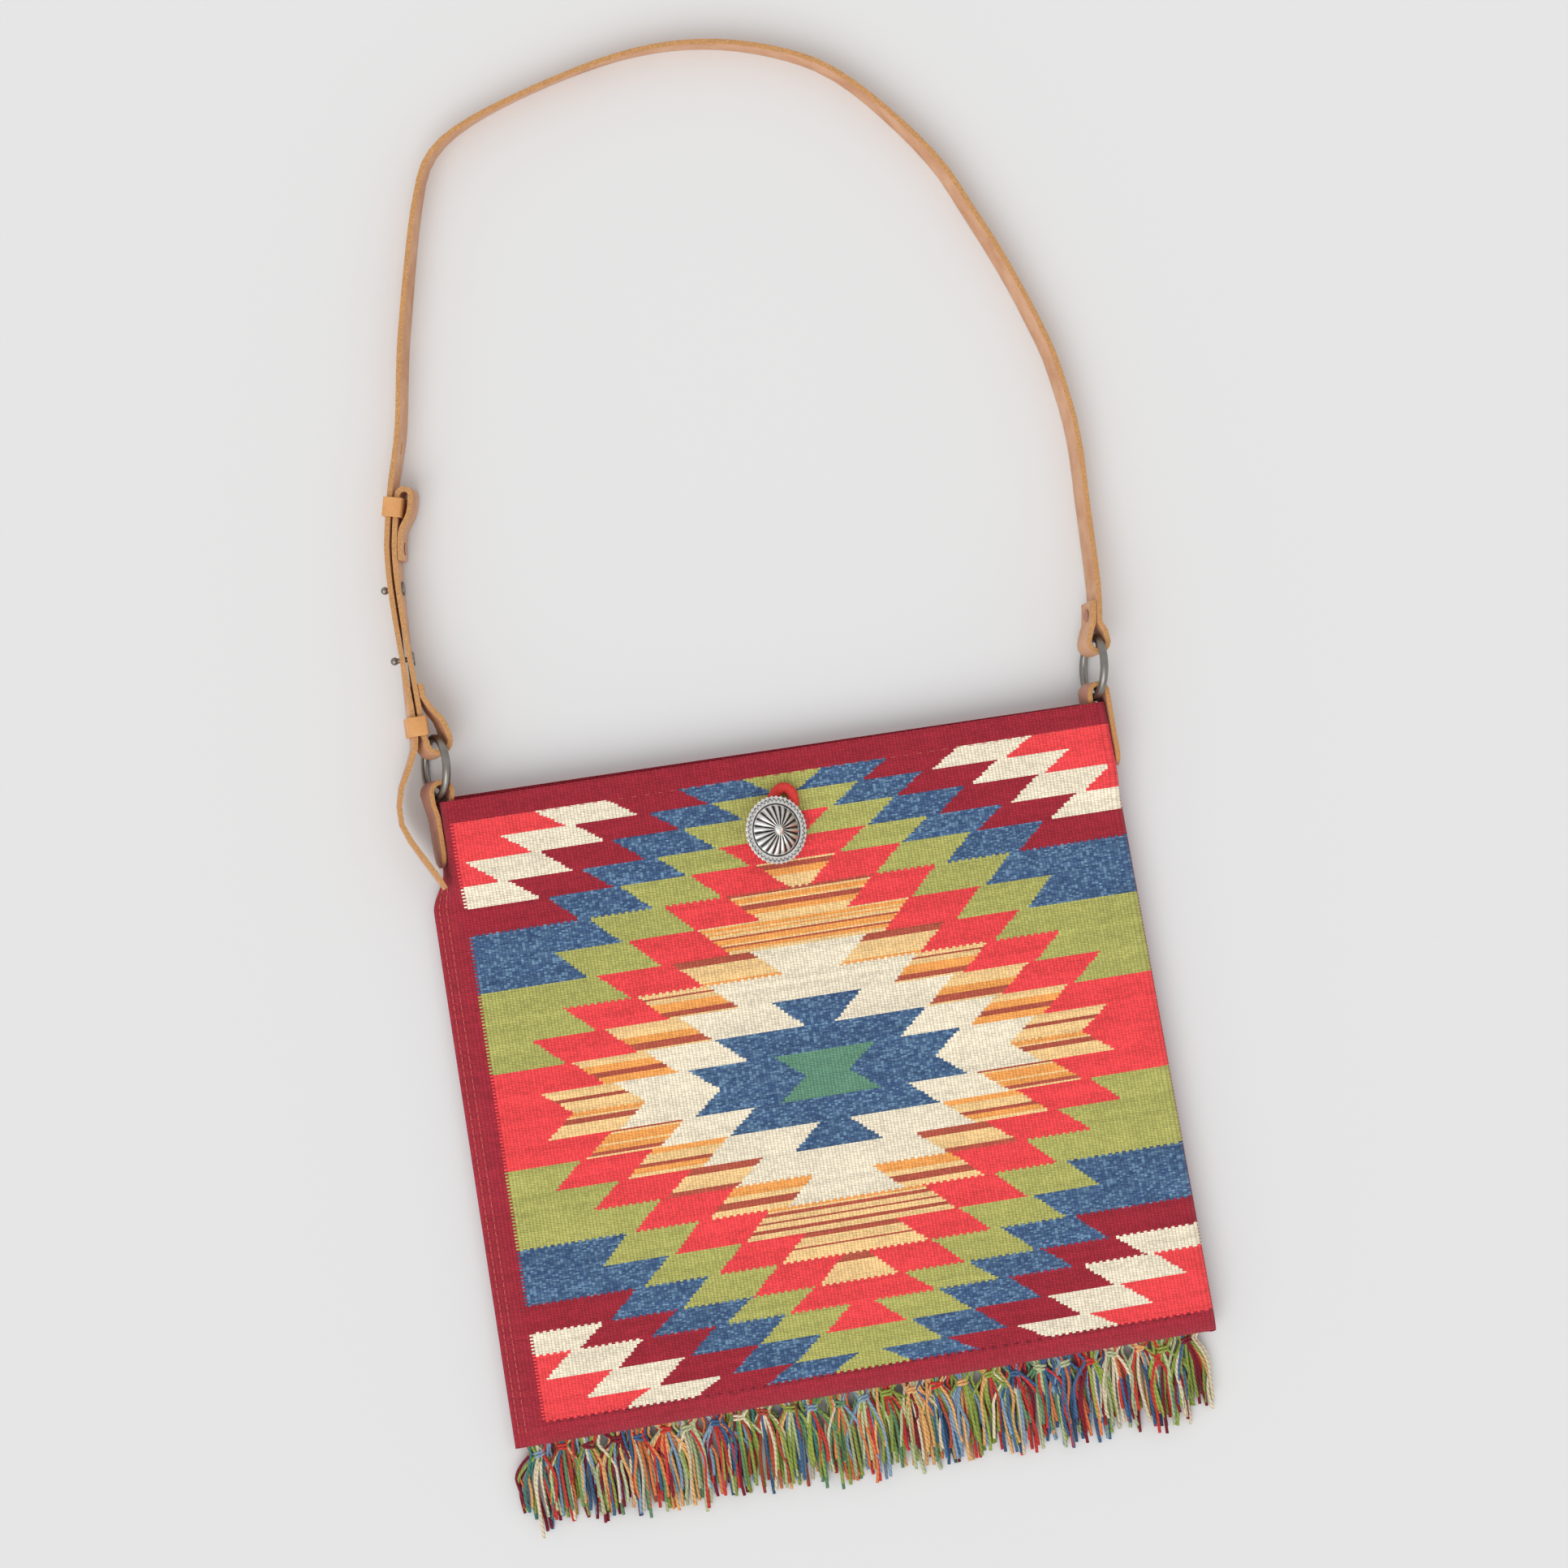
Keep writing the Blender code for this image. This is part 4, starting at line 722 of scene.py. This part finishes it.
def stitch_tree():
    """A thread stitch laid on every point of a mesh, along its 'way' and square to its 'up'."""
    tree, start, end = node_tree("running stitches", (
        ("Length", "NodeSocketFloat"), ("Thickness", "NodeSocketFloat"), ("Thread", "NodeSocketMaterial")))
    thick = start.outputs["Thickness"]
    half, deep = times(tree, start.outputs["Length"], 0.5), times(tree, thick, -0.6)
    begin = add(tree, "ShaderNodeCombineXYZ", in_0=times(tree, half, -1.0), in_2=deep)
    top = add(tree, "ShaderNodeCombineXYZ", in_2=thick)
    finish = add(tree, "ShaderNodeCombineXYZ", in_0=half, in_2=deep)
    line = add(tree, "GeometryNodeCurveQuadraticBezier", in_Resolution=6, in_Start=begin.outputs[0],
               in_Middle=top.outputs[0], in_End=finish.outputs[0])
    ring = add(tree, "GeometryNodeCurvePrimitiveCircle", in_Resolution=6,
               in_Radius=times(tree, thick, 0.5))
    thread = add(tree, "GeometryNodeCurveToMesh", in_0=line.outputs[0], in_1=ring.outputs[0],
                 in_Fill_Caps=True)
    way, up = [add(tree, "GeometryNodeInputNamedAttribute", {"data_type": "FLOAT_VECTOR"}, in_Name=name)
               for name in ("way", "up")]
    turn = add(tree, "FunctionNodeAxesToRotation", {"primary_axis": "X", "secondary_axis": "Z"},
               in_0=way.outputs[0], in_1=up.outputs[0])
    laid = add(tree, "GeometryNodeInstanceOnPoints", in_0=start.outputs["Geometry"],
               in_Instance=thread.outputs[0], in_Rotation=turn.outputs[0])
    dress(tree, laid.outputs[0], start.outputs["Thread"], end)
    return tree


def point_cloud(name, places, ways, ups):
    """A mesh of loose points, in metres, that carries a direction and a normal for each."""
    mesh = bpy.data.meshes.new(name)
    mesh.from_pydata(places, [], [])
    for label, values in (("way", ways), ("up", ups)):
        layer = mesh.attributes.new(label, "FLOAT_VECTOR", "POINT")
        for item, value in zip(layer.data, values):
            item.vector = value
    return shown(name, mesh)


def front_place(x, y):
    """A place on the front's outer face, in millimetres."""
    v = (y + BAG_HEIGHT / 2) / BAG_HEIGHT
    return Vector((x, surface_y(x, v), front_height(x, v)))


def strip_place(part, y):
    """A place on the rolled left side, part of the way from its seam to its shoulder."""
    v = (y + BAG_HEIGHT / 2) / BAG_HEIGHT
    place = on_profile(left_profile(v), part)
    place.y = surface_y(place.x, v)
    return place


def stitch_row(where, first, last, pitch, rng, wander):
    """Places, ways and normals of a row of stitches on a surface, where() giving a place for a step."""
    places, ways, ups = [], [], []
    count = int(abs(last - first) / pitch)
    for i in range(count):
        at = blend(first, last, (i + 0.5) / count)
        here, there = where(at, 0.0), where(at + 0.5, 0.0)
        beside = where(at, 0.5)
        way = (there - here).normalized()
        up = way.cross(beside - here).normalized()
        up = up if up.z > 0 else -up
        tilt = Matrix.Rotation(rng.uniform(-wander, wander), 3, up)
        places.append(mm(*(here + up * 0.15)))
        ways.append(tilt @ way)
        ups.append(up)
    return places, ways, ups


class BAG_OT_stitches(bpy.types.Operator):
    """Sew the running stitches on the rolled side and under the hems"""

    bl_idname = "bag.stitches"
    bl_label = "Stitches"

    def execute(self, context):
        sizes = context.scene.bag_sizes
        rng = random.Random(21)
        tree = stitch_tree()

        def side(part):
            return lambda y, beside: strip_place(part + beside / 18, y)

        def level(row_y):
            return lambda x, beside: front_place(x, row_y + beside)

        rows = (
            ("side_stitches", "coral thread", [(side(0.20), -152, 118), (side(0.44), -152, 118)], 3.6, 0.5),
            ("top_stitches", "coral thread", [(level(147.6), -150, 152)], 6.4, 0.34),
            ("bottom_stitches", "maroon thread", [(level(-147.4), -155, 164)], 5.6, 0.5),
        )
        for name, thread, lines, pitch, thickness in rows:
            places, ways, ups = [], [], []
            for where, first, last in lines:
                found = stitch_row(where, first, last, pitch, rng, 0.12)
                places += found[0]
                ways += found[1]
                ups += found[2]
            source = point_cloud(name, places, ways, ups)
            piece = run_tree(source, tree, {"Length": sizes.stitch, "Thickness": mm(thickness),
                                            "Thread": material(thread)}, name)
            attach(piece, "bag")
        return {"FINISHED"}


# Fringe

TASSEL_COUNT = 27
TASSEL_LENGTH = 47.0
KNOT_DROP = 4.2
# Heights above the floor at which the loose ends lie
YARN_LAYERS = (1.1, 2.7, 4.3, 5.9)
# Each yarn dye and how often it turns up
YARN_DYES = (("#8A2A3A", 3), ("#D8463F", 4), ("#EE8A55", 2), ("#EFE0C0", 3), ("#4C6E97", 3), ("#8FAAC2", 2),
             ("#9FB054", 5), ("#C5CDA0", 3), ("#6F9A72", 2), ("#F2B878", 2), ("#4F8A82", 1), ("#B8553F", 1))


def yarn_tree():
    """Yarn round every curve, its dye carried over from the curve's points."""
    tree, start, end = node_tree("fringe yarns", (
        ("Thickness", "NodeSocketFloat"), ("Sides", "NodeSocketInt"), ("Wool", "NodeSocketMaterial")))
    ring = add(tree, "GeometryNodeCurvePrimitiveCircle", in_Resolution=start.outputs["Sides"],
               in_Radius=times(tree, start.outputs["Thickness"], 0.5))
    away = add(tree, "GeometryNodeStoreNamedAttribute", {"data_type": "FLOAT_VECTOR"}, in_Name="round",
               in_Geometry=ring.outputs[0], in_Value=add(tree, "GeometryNodeInputPosition").outputs[0])
    path = add(tree, "GeometryNodeMeshToCurve", in_0=start.outputs["Geometry"])
    bent = add(tree, "GeometryNodeCurveSplineType", {"spline_type": "CATMULL_ROM"}, in_0=path.outputs[0])
    bent = add(tree, "GeometryNodeSetSplineResolution", in_Geometry=bent.outputs[0], in_Resolution=2)
    run = add(tree, "GeometryNodeSplineParameter").outputs["Length"]
    along = add(tree, "GeometryNodeStoreNamedAttribute", {"data_type": "FLOAT"}, in_Name="along",
                in_Geometry=bent.outputs[0], in_Value=run)
    yarn = add(tree, "GeometryNodeCurveToMesh", in_0=along.outputs[0], in_1=away.outputs[0],
               in_Fill_Caps=True)
    dress(tree, yarn.outputs[0], start.outputs["Wool"], end)
    return tree


def yarn_lines(name, yarns):
    """Chains of edges for Geometry Nodes from rows of places in millimetres, each row with one dye."""
    points, edges, dyes = [], [], []
    for row, dye in yarns:
        edges += [(len(points) + k, len(points) + k + 1) for k in range(len(row) - 1)]
        points += [mm(*place) for place in row]
        dyes += [value for place in row for value in dye]
    mesh = bpy.data.meshes.new(name)
    mesh.from_pydata(points, edges, [])
    mesh.attributes.new("dye", "FLOAT_COLOR", "POINT").data.foreach_set("color", dyes)
    return shown(name, mesh)


def tassel_yarns(number, count, rng):
    """The yarns of one tassel: out of the hem, through a knot, then loose, side by side and uneven."""
    low, high = left_edge(0) + 5, right_profile(0)[0].x - 5
    pitch = (high - low) / TASSEL_COUNT
    x = low + (number + 0.5) * pitch
    top = surface_y(x, 0) + 0.8
    knot = Vector((x + rng.uniform(-1.2, 1.2), top - KNOT_DROP + rng.uniform(-1.8, 1.2), 5.0))
    sway = rng.uniform(-2.6, 2.6) - 5.0 * (number == 0) + 2.0 * (number == TASSEL_COUNT - 1)
    palette = [linear(code) for code, weight in YARN_DYES for repeat in range(weight)]
    favourites = [rng.choice(palette) for repeat in range(3)]
    long = TASSEL_LENGTH + rng.uniform(-3.0, 1.5)
    yarns = []
    for i in range(count):
        lane = (i + rng.random()) / count * 2 - 1
        gather = 2.6 if rng.random() < 0.7 else pitch * 0.45
        dye = rng.choice(favourites) if rng.random() < 0.45 else rng.choice(palette)
        dye = shade_of(dye, rng.uniform(0.74, 1.06))
        turn = rng.uniform(0, math.tau)
        tie = knot + Vector((gather * lane, rng.uniform(-0.8, 0.8), 1.5 * math.sin(turn)))
        begin = Vector((x + pitch * 0.5 * lane, top + 1.5, 6.0 + rng.uniform(-0.8, 0.8)))
        end_x = x + lane * pitch * 0.80 + sway + rng.gauss(0, 1.6)
        layer = rng.choice(YARN_LAYERS)
        reach = long * rng.uniform(0.68, 1.0) * (1 - 0.08 * abs(lane))
        curl, waves = rng.uniform(-1.6, 1.6), rng.uniform(0.8, 2.2)
        row = [begin, (begin + tie) / 2 + Vector((0, 0, 0.4)), tie]
        for k in range(1, 8):
            part = k / 7
            side = blend(tie.x, end_x, smooth_step(0.22 + part * 1.7))
            side += curl * math.sin(part * math.pi * waves)
            row.append(Vector((side, tie.y - (reach - KNOT_DROP) * part,
                               blend(tie.z + 0.8, layer, smooth_step(part * 1.4)))))
        yarns.append((row, dye))
    return yarns, knot, favourites[0]


def knot_yarns(knot, dye, rng):
    """A few turns of yarn drawn tight round a tassel's top."""
    yarns = []
    for turn in range(2):
        level = knot.y + (turn - 0.5) * 1.7
        slope = rng.uniform(-0.9, 0.9)
        row = []
        for k in range(13):
            angle = math.tau * k / 12
            row.append(Vector((knot.x + 2.9 * math.cos(angle), level + slope * math.cos(angle),
                               knot.z + 2.3 * math.sin(angle))))
        yarns.append((row, dye))
    return yarns


class BAG_OT_fringe(bpy.types.Operator):
    """Knot the fringe's tassels of mixed wool yarn under the bottom hem"""

    bl_idname = "bag.fringe"
    bl_label = "Fringe"

    def execute(self, context):
        sizes = context.scene.bag_sizes
        rng = random.Random(63)
        tree = yarn_tree()
        yarns = []
        for number in range(TASSEL_COUNT):
            found, knot, dye = tassel_yarns(number, sizes.yarns, rng)
            yarns += found + knot_yarns(knot, dye, rng)
        piece = run_tree(yarn_lines("fringe", yarns), tree,
                         {"Thickness": sizes.yarn, "Sides": 6, "Wool": material("spun wool yarn")}, "fringe")
        piece.data.shade_smooth()
        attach(piece, "bag")
        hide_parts(*[f"tassel_{i + 1:02d}" for i in range(TASSEL_COUNT)])
        return {"FINISHED"}


# Leather, from the solids with eased edges

STRAP_EASE = 0.45
KEEPER_EASE = 0.30
# A face whose normal has more Z than this, up or down, is a cut edge. No face of the keepers is
STRAP_CUT = 0.75
KEEPER_CUT = 2.0


def leather_from(node, name, finish, ease, cut_up):
    """A copy of a leather solid with its outer edges eased and its cut edges marked for the finish."""
    source = frame["nodes"][node]
    shape = bmesh.new()
    shape.from_mesh(source.data)
    bmesh.ops.remove_doubles(shape, verts=shape.verts, dist=mm(0.005))
    bmesh.ops.dissolve_limit(shape, angle_limit=math.radians(0.6), verts=shape.verts, edges=shape.edges)
    shape.normal_update()
    sharp = [edge for edge in shape.edges
             if len(edge.link_faces) == 2 and edge.is_convex and edge.calc_face_angle() > math.radians(40)]
    bmesh.ops.bevel(shape, geom=sharp, offset=mm(ease), segments=2, profile=0.6, affect="EDGES",
                    clamp_overlap=True)
    bmesh.ops.triangulate(shape, faces=[face for face in shape.faces if len(face.verts) > 4])
    cut = shape.loops.layers.float.new("cut")
    for face in shape.faces:
        amount = smooth_step((abs(face.normal.z) - cut_up + 0.12) / 0.24)
        for loop in face.loops:
            loop[cut] = amount
    mesh = bpy.data.meshes.new(name)
    shape.to_mesh(mesh)
    shape.free()
    mesh.materials.append(material(finish))
    mesh.shade_smooth()
    mesh.set_sharp_from_angle(angle=math.radians(38))
    return shown(name, mesh)


class BAG_OT_leather(bpy.types.Operator):
    """Cut the straps, side tabs and keepers from tanned leather"""

    bl_idname = "bag.leather"
    bl_label = "Straps, tabs and keepers"

    def execute(self, context):
        pieces = (
            ("strap_long", "strap leather", "strap_leather", STRAP_EASE, STRAP_CUT, "bag"),
            ("strap_short", "strap leather", "strap_leather", STRAP_EASE, STRAP_CUT, "bag"),
            ("tab_left", "tab leather", "tab_leather", STRAP_EASE, STRAP_CUT, "bag"),
            ("tab_right", "tab leather", "tab_leather", STRAP_EASE, STRAP_CUT, "bag"),
            ("keeper_upper", "keeper leather", "keeper_leather", KEEPER_EASE, KEEPER_CUT, "keeper_upper"),
            ("keeper_lower", "keeper leather", "keeper_leather", KEEPER_EASE, KEEPER_CUT, "keeper_lower"),
        )
        for node, finish, slot, ease, cut_up, body in pieces:
            piece = leather_from(node, f"{node}_leather", finish, ease, cut_up)
            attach(piece, body)
            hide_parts(node)
        return {"FINISHED"}


# Metal

RING_WIRE = 4.0
RING_MIDDLE = 29.2
# Small fittings that keep their solid's shape and get a finish
FITTINGS = {
    "antique nickel": ("stud_ball_upper", "stud_ball_lower", "stud_screw_upper", "stud_screw_lower"),
    "tab leather": ("rivet_top_fold", "rivet_left_ring", "rivet_right_ring"),
}


def joint_place(name):
    """A joint's place and axis, in metres."""
    for joint in frame["joints"]:
        if joint["name"] == name:
            return Vector(joint["pos_m"]), Vector(joint["axis"]).normalized()
    raise RuntimeError(f"no joint {name}")


def metal_piece(name, points, faces, finish, recess=None, smooth=50):
    """A metal piece from points in metres, with how deep each point lies."""
    mesh = bpy.data.meshes.new(name)
    mesh.from_pydata(points, [], faces)
    if recess is not None:
        layer = mesh.attributes.new("recess", "FLOAT", "POINT")
        layer.data.foreach_set("value", recess)
    mesh.materials.append(material(finish))
    mesh.shade_smooth()
    mesh.set_sharp_from_angle(angle=math.radians(smooth))
    made = shown(name, mesh)
    face_outwards(made)
    return made


def ring_piece(name, joint, wire, middle_size):
    """A round wire ring on its own axis."""
    place, axis = joint_place(joint)
    turn = axis.to_track_quat("Z", "Y").to_matrix()
    around, about = 96, 20
    points, faces = [], []
    for i in range(around):
        angle = math.tau * i / around
        for j in range(about):
            part = math.tau * j / about
            reach = mm(middle_size / 2 + wire / 2 * math.cos(part))
            points.append(place + turn @ Vector((reach * math.cos(angle), reach * math.sin(angle),
                                                 mm(wire / 2 * math.sin(part)))))
            k, m = (i + 1) % around, (j + 1) % about
            faces.append((i * about + j, k * about + j, k * about + m, i * about + m))
    return metal_piece(name, points, faces, "antique nickel")


CONCHO_SIZE = 33.0
CONCHO_RIM = 1.0
CONCHO_DOME = 25.0
CONCHO_RISE = 3.6
CONCHO_PETALS = 20
CONCHO_SCALLOPS = 40
CONCHO_TILT = 27.0
SHANK_HEIGHT = 9.4
SHANK_SIZE = 3.0
SHANK_FOOT = 4.0


def concho_face(radius, angle):
    """Height and depth of the concho's face: a fluted dome, a milled groove and a stamped rim."""
    rim, dome = CONCHO_SIZE / 2, CONCHO_DOME / 2
    if radius <= dome:
        part = radius / dome
        swell = CONCHO_RISE * (1 - part ** 2.2)
        flute = abs(math.sin(angle * CONCHO_PETALS / 2))
        deep = (1 - flute ** 1.3) * smooth_step((part - 0.10) / 0.18)
        deep *= 1 - smooth_step((part - 0.93) / 0.07)
        knob = 0.9 * smooth_step((0.2 - part) / 0.12)
        edge = smooth_step((part - 0.86) / 0.14)
        return CONCHO_RIM + swell + knob - 0.85 * deep - 0.3 * edge, deep
    part = (radius - dome) / (rim - dome)
    arcs = abs(math.sin(angle * CONCHO_SCALLOPS / 2))
    low = smooth_step((0.18 - part) / 0.1)
    band = smooth_step((part - 0.25) / 0.08) * (1 - smooth_step((part - 0.86) / 0.1))
    curve = abs(part - 0.38 - 0.34 * arcs)
    line = max(0.0, 1 - curve / 0.13) * band
    dot = max(0.0, 1 - math.hypot((part - 0.42) * 4.0, arcs * 2.6)) * band
    deep = max(line, low)
    return CONCHO_RIM + 0.05 - 0.30 * deep + 0.22 * dot, min(deep + 0.10 * band, 1.0)


def concho_piece(name):
    """The concho with its shank, on the foot that it tilts on."""
    place = joint_place("concho_tilt")[0]
    tilt = Matrix.Rotation(math.radians(CONCHO_TILT), 3, "Y")
    around, rings = 320, 46
    points, recess = [Vector((0, 0, SHANK_HEIGHT + concho_face(0, 0)[0]))], [0.0]
    for i in range(1, rings + 1):
        for j in range(around):
            angle = math.tau * j / around
            reach = CONCHO_SIZE / 2 * i / rings
            height, deep = concho_face(reach, angle)
            if i == rings:
                reach *= 1 + 0.018 * math.cos(angle * CONCHO_SCALLOPS)
                height -= 0.25
            points.append(Vector((reach * math.cos(angle), reach * math.sin(angle), SHANK_HEIGHT + height)))
            recess.append(deep)
    faces = [(0, 1 + j, 1 + (j + 1) % around) for j in range(around)]
    profile = [(CONCHO_SIZE / 2 * 0.985, 0.1), (CONCHO_DOME / 2, 0.0), (SHANK_SIZE / 2 + 0.6, 0.0),
               (SHANK_SIZE / 2, -0.6), (SHANK_SIZE / 2, 1.4 - SHANK_HEIGHT)]
    foot = SHANK_FOOT / 2
    profile += [(foot * math.sin(math.radians(angle)), foot * math.cos(math.radians(angle)) - SHANK_HEIGHT)
                for angle in (62, 90, 120, 150, 172)]
    for radius, height in profile:
        for j in range(around):
            angle = math.tau * j / around
            points.append(Vector((radius * math.cos(angle), radius * math.sin(angle), SHANK_HEIGHT + height)))
            # Every point of the disc's back, its edge and the shank takes 0.6 of the dark colour
            recess.append(0.6)
    for i in range(rings + len(profile) - 1):
        for j in range(around):
            k = (j + 1) % around
            low, high = 1 + i * around, 1 + (i + 1) * around
            faces.append((low + j, high + j, high + k, low + k))
    last = 1 + (rings + len(profile) - 1) * around
    faces.append(tuple(last + j for j in range(around)))
    points = [place + tilt @ mm(*point) for point in points]
    return metal_piece(name, points, faces, "antique silver", recess, smooth=70)


class BAG_OT_metal(bpy.types.Operator):
    """Make the rings and the fluted concho, and give the studs and rivets their finish"""

    bl_idname = "bag.metal"
    bl_label = "Metal"

    def execute(self, context):
        for side in ("left", "right"):
            piece = ring_piece(f"ring_{side}_nickel", f"ring_{side}_spin", RING_WIRE, RING_MIDDLE)
            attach(piece, f"ring_{side}")
            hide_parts(f"ring_{side}")
        piece = concho_piece("concho_silver")
        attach(piece, "concho")
        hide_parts("concho")
        for finish, nodes in FITTINGS.items():
            for slot in [slot for node in nodes for slot in frame["nodes"][node].material_slots]:
                slot.link = "OBJECT"
                slot.material = material(finish)
        return {"FINISHED"}


# The closing cord

CONCHO_X = -3.0
CONCHO_Y = BAG_HEIGHT / 2 - 38.0
LOOP_CORD = 4.2
CORD_TURNS = 15
# X and Y of the cord's middle line from the concho's middle, once round
LOOP_ROUTE = (
    (-2.6, 11.6), (1.4, 17.0), (5.0, 19.7), (8.4, 18.9), (10.2, 15.4), (9.8, 10.2), (7.2, 3.6),
    (2.2, -3.4), (-3.8, -7.4), (-10.2, -6.4), (-12.2, -0.4), (-8.6, 6.0),
)


class BAG_OT_loop(bpy.types.Operator):
    """Twist the red closing cord round the concho's shank"""

    bl_idname = "bag.loop"
    bl_label = "Closing cord"

    def execute(self, context):
        places = []
        for across, up in LOOP_ROUTE:
            place = front_place(CONCHO_X + across, CONCHO_Y + up)
            places.append(place + Vector((0, 0, LOOP_CORD / 2 + 0.3)))
        closed = places[-1:] + places + places[:2]
        route = []
        for i in range(1, len(closed) - 2):
            route += [catmull(*closed[i - 1:i + 3], step / 9) for step in range(9)]
        count, sides = len(route), 18
        points, faces = [], []
        for i, middle in enumerate(route):
            way = (route[(i + 1) % count] - route[i - 1]).normalized()
            across = way.cross(Vector((0, 0, 1))).normalized()
            upward = across.cross(way)
            for k in range(sides):
                angle = math.tau * k / sides
                lobe = abs(math.sin(1.5 * angle + math.tau * i * CORD_TURNS / count)) ** 0.6
                reach = LOOP_CORD / 2 * (0.72 + 0.32 * lobe)
                aside = across * reach * 1.3 * math.cos(angle)
                points.append(middle + aside + upward * reach * math.sin(angle))
                low, high = i * sides, (i + 1) % count * sides
                faces.append((low + k, low + (k + 1) % sides, high + (k + 1) % sides, high + k))
        piece = new_piece("closing_cord", points, faces, material("red cord"), smooth=80)
        face_outwards(piece)
        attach(piece, "bag")
        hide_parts("closure_loop")
        return {"FINISHED"}


# Stage

PAPER = "#E6E6E6"
FLOOR_REACH = 4.0
VIEW_MIDDLE = (3.9, 142.6, 10.0)
VIEW_WIDTH = 772.8
VIEW_DISTANCE = 1600.0
VIEW_TURN = -8.65
SENSOR = 36.0
# The room's and the window's light together show a colour as it is written
ROOM_LIGHT = 0.72
WINDOW_SLOPE = 40.0
WINDOW_SPAN = 50.0
WINDOW_SIDE = 160.0


class BAG_OT_stage(bpy.types.Operator):
    """Set the pale floor, the window light and the camera above the bag"""

    bl_idname = "bag.stage"
    bl_label = "Floor, light and camera"

    def execute(self, context):
        scene = context.scene
        mesh = bpy.data.meshes.new("floor")
        reach = FLOOR_REACH
        mesh.from_pydata([(-reach, -reach, 0), (reach, -reach, 0), (reach, reach, 0), (-reach, reach, 0)], [],
                         [(0, 1, 2, 3)])
        floor = shown("floor", mesh)
        paper, tree, shader = new_material("pale paper floor")
        feed(tree, shader, in_Base_Color=linear(PAPER), in_Roughness=1.0, in_Specular_IOR_Level=0.0)
        mesh.materials.append(paper)
        world = bpy.data.worlds.new("soft room")
        world.use_nodes = True
        room = world.node_tree
        ray = add(room, "ShaderNodeLightPath").outputs
        seen = math_node(room, "MAXIMUM", ray["Is Camera Ray"], ray["Is Glossy Ray"])
        seen = math_node(room, "MAXIMUM", seen, ray["Is Transmission Ray"])
        level = plus(room, times(room, seen, linear(PAPER)[0] - ROOM_LIGHT), ROOM_LIGHT)
        feed(room, room.nodes["Background"], in_Color=(1.0, 1.0, 1.0, 1.0), in_Strength=level)
        scene.world = world
        lamp = bpy.data.lights.new("large window", "SUN")
        slope = math.radians(WINDOW_SLOPE)
        lamp.energy = (1 - ROOM_LIGHT) * math.pi / math.cos(slope)
        lamp.angle = math.radians(WINDOW_SPAN)
        shown("large window", lamp).rotation_euler = (-slope, 0, math.radians(VIEW_TURN + WINDOW_SIDE))
        lens = bpy.data.cameras.new("overhead")
        lens.sensor_width = SENSOR
        lens.lens = SENSOR * VIEW_DISTANCE / VIEW_WIDTH
        lens.clip_start = 0.05
        lens.clip_end = 20.0
        camera = shown("overhead", lens)
        camera.location = mm(*VIEW_MIDDLE) + Vector((0, 0, mm(VIEW_DISTANCE)))
        camera.rotation_euler = (0, 0, math.radians(VIEW_TURN))
        scene.camera = camera
        scene.view_settings.view_transform = "Standard"
        return {"FINISHED"}


class BAG_PT_panel(bpy.types.Panel):
    """The bag's pieces, sizes and dyes"""

    bl_idname = "BAG_PT_panel"
    bl_label = "Woven crossbody bag"
    bl_space_type = "VIEW_3D"
    bl_region_type = "UI"
    bl_category = "Bag"

    def draw(self, context):
        layout = self.layout
        for operator in OPERATORS:
            layout.operator(operator.bl_idname)
        for group in (context.scene.bag_sizes, context.scene.bag_dyes):
            for name in group.__annotations__:
                layout.prop(group, name)


OPERATORS = (BAG_OT_front, BAG_OT_back, BAG_OT_stitches, BAG_OT_fringe, BAG_OT_leather, BAG_OT_metal,
             BAG_OT_loop, BAG_OT_stage)
CLASSES = (BagSettings, DyeSettings, *OPERATORS, BAG_PT_panel)


def register():
    for item in CLASSES:
        bpy.utils.register_class(item)
    bpy.types.Scene.bag_sizes = PointerProperty(type=BagSettings)
    bpy.types.Scene.bag_dyes = PointerProperty(type=DyeSettings)


def unregister():
    del bpy.types.Scene.bag_dyes
    del bpy.types.Scene.bag_sizes
    for item in reversed(CLASSES):
        bpy.utils.unregister_class(item)


def main():
    register()
    bpy.ops.bag.stage()
    bpy.ops.bag.front()
    bpy.ops.bag.back()
    bpy.ops.bag.stitches()
    bpy.ops.bag.fringe()
    bpy.ops.bag.leather()
    bpy.ops.bag.metal()
    bpy.ops.bag.loop()


if __name__ == "__main__":
    main()
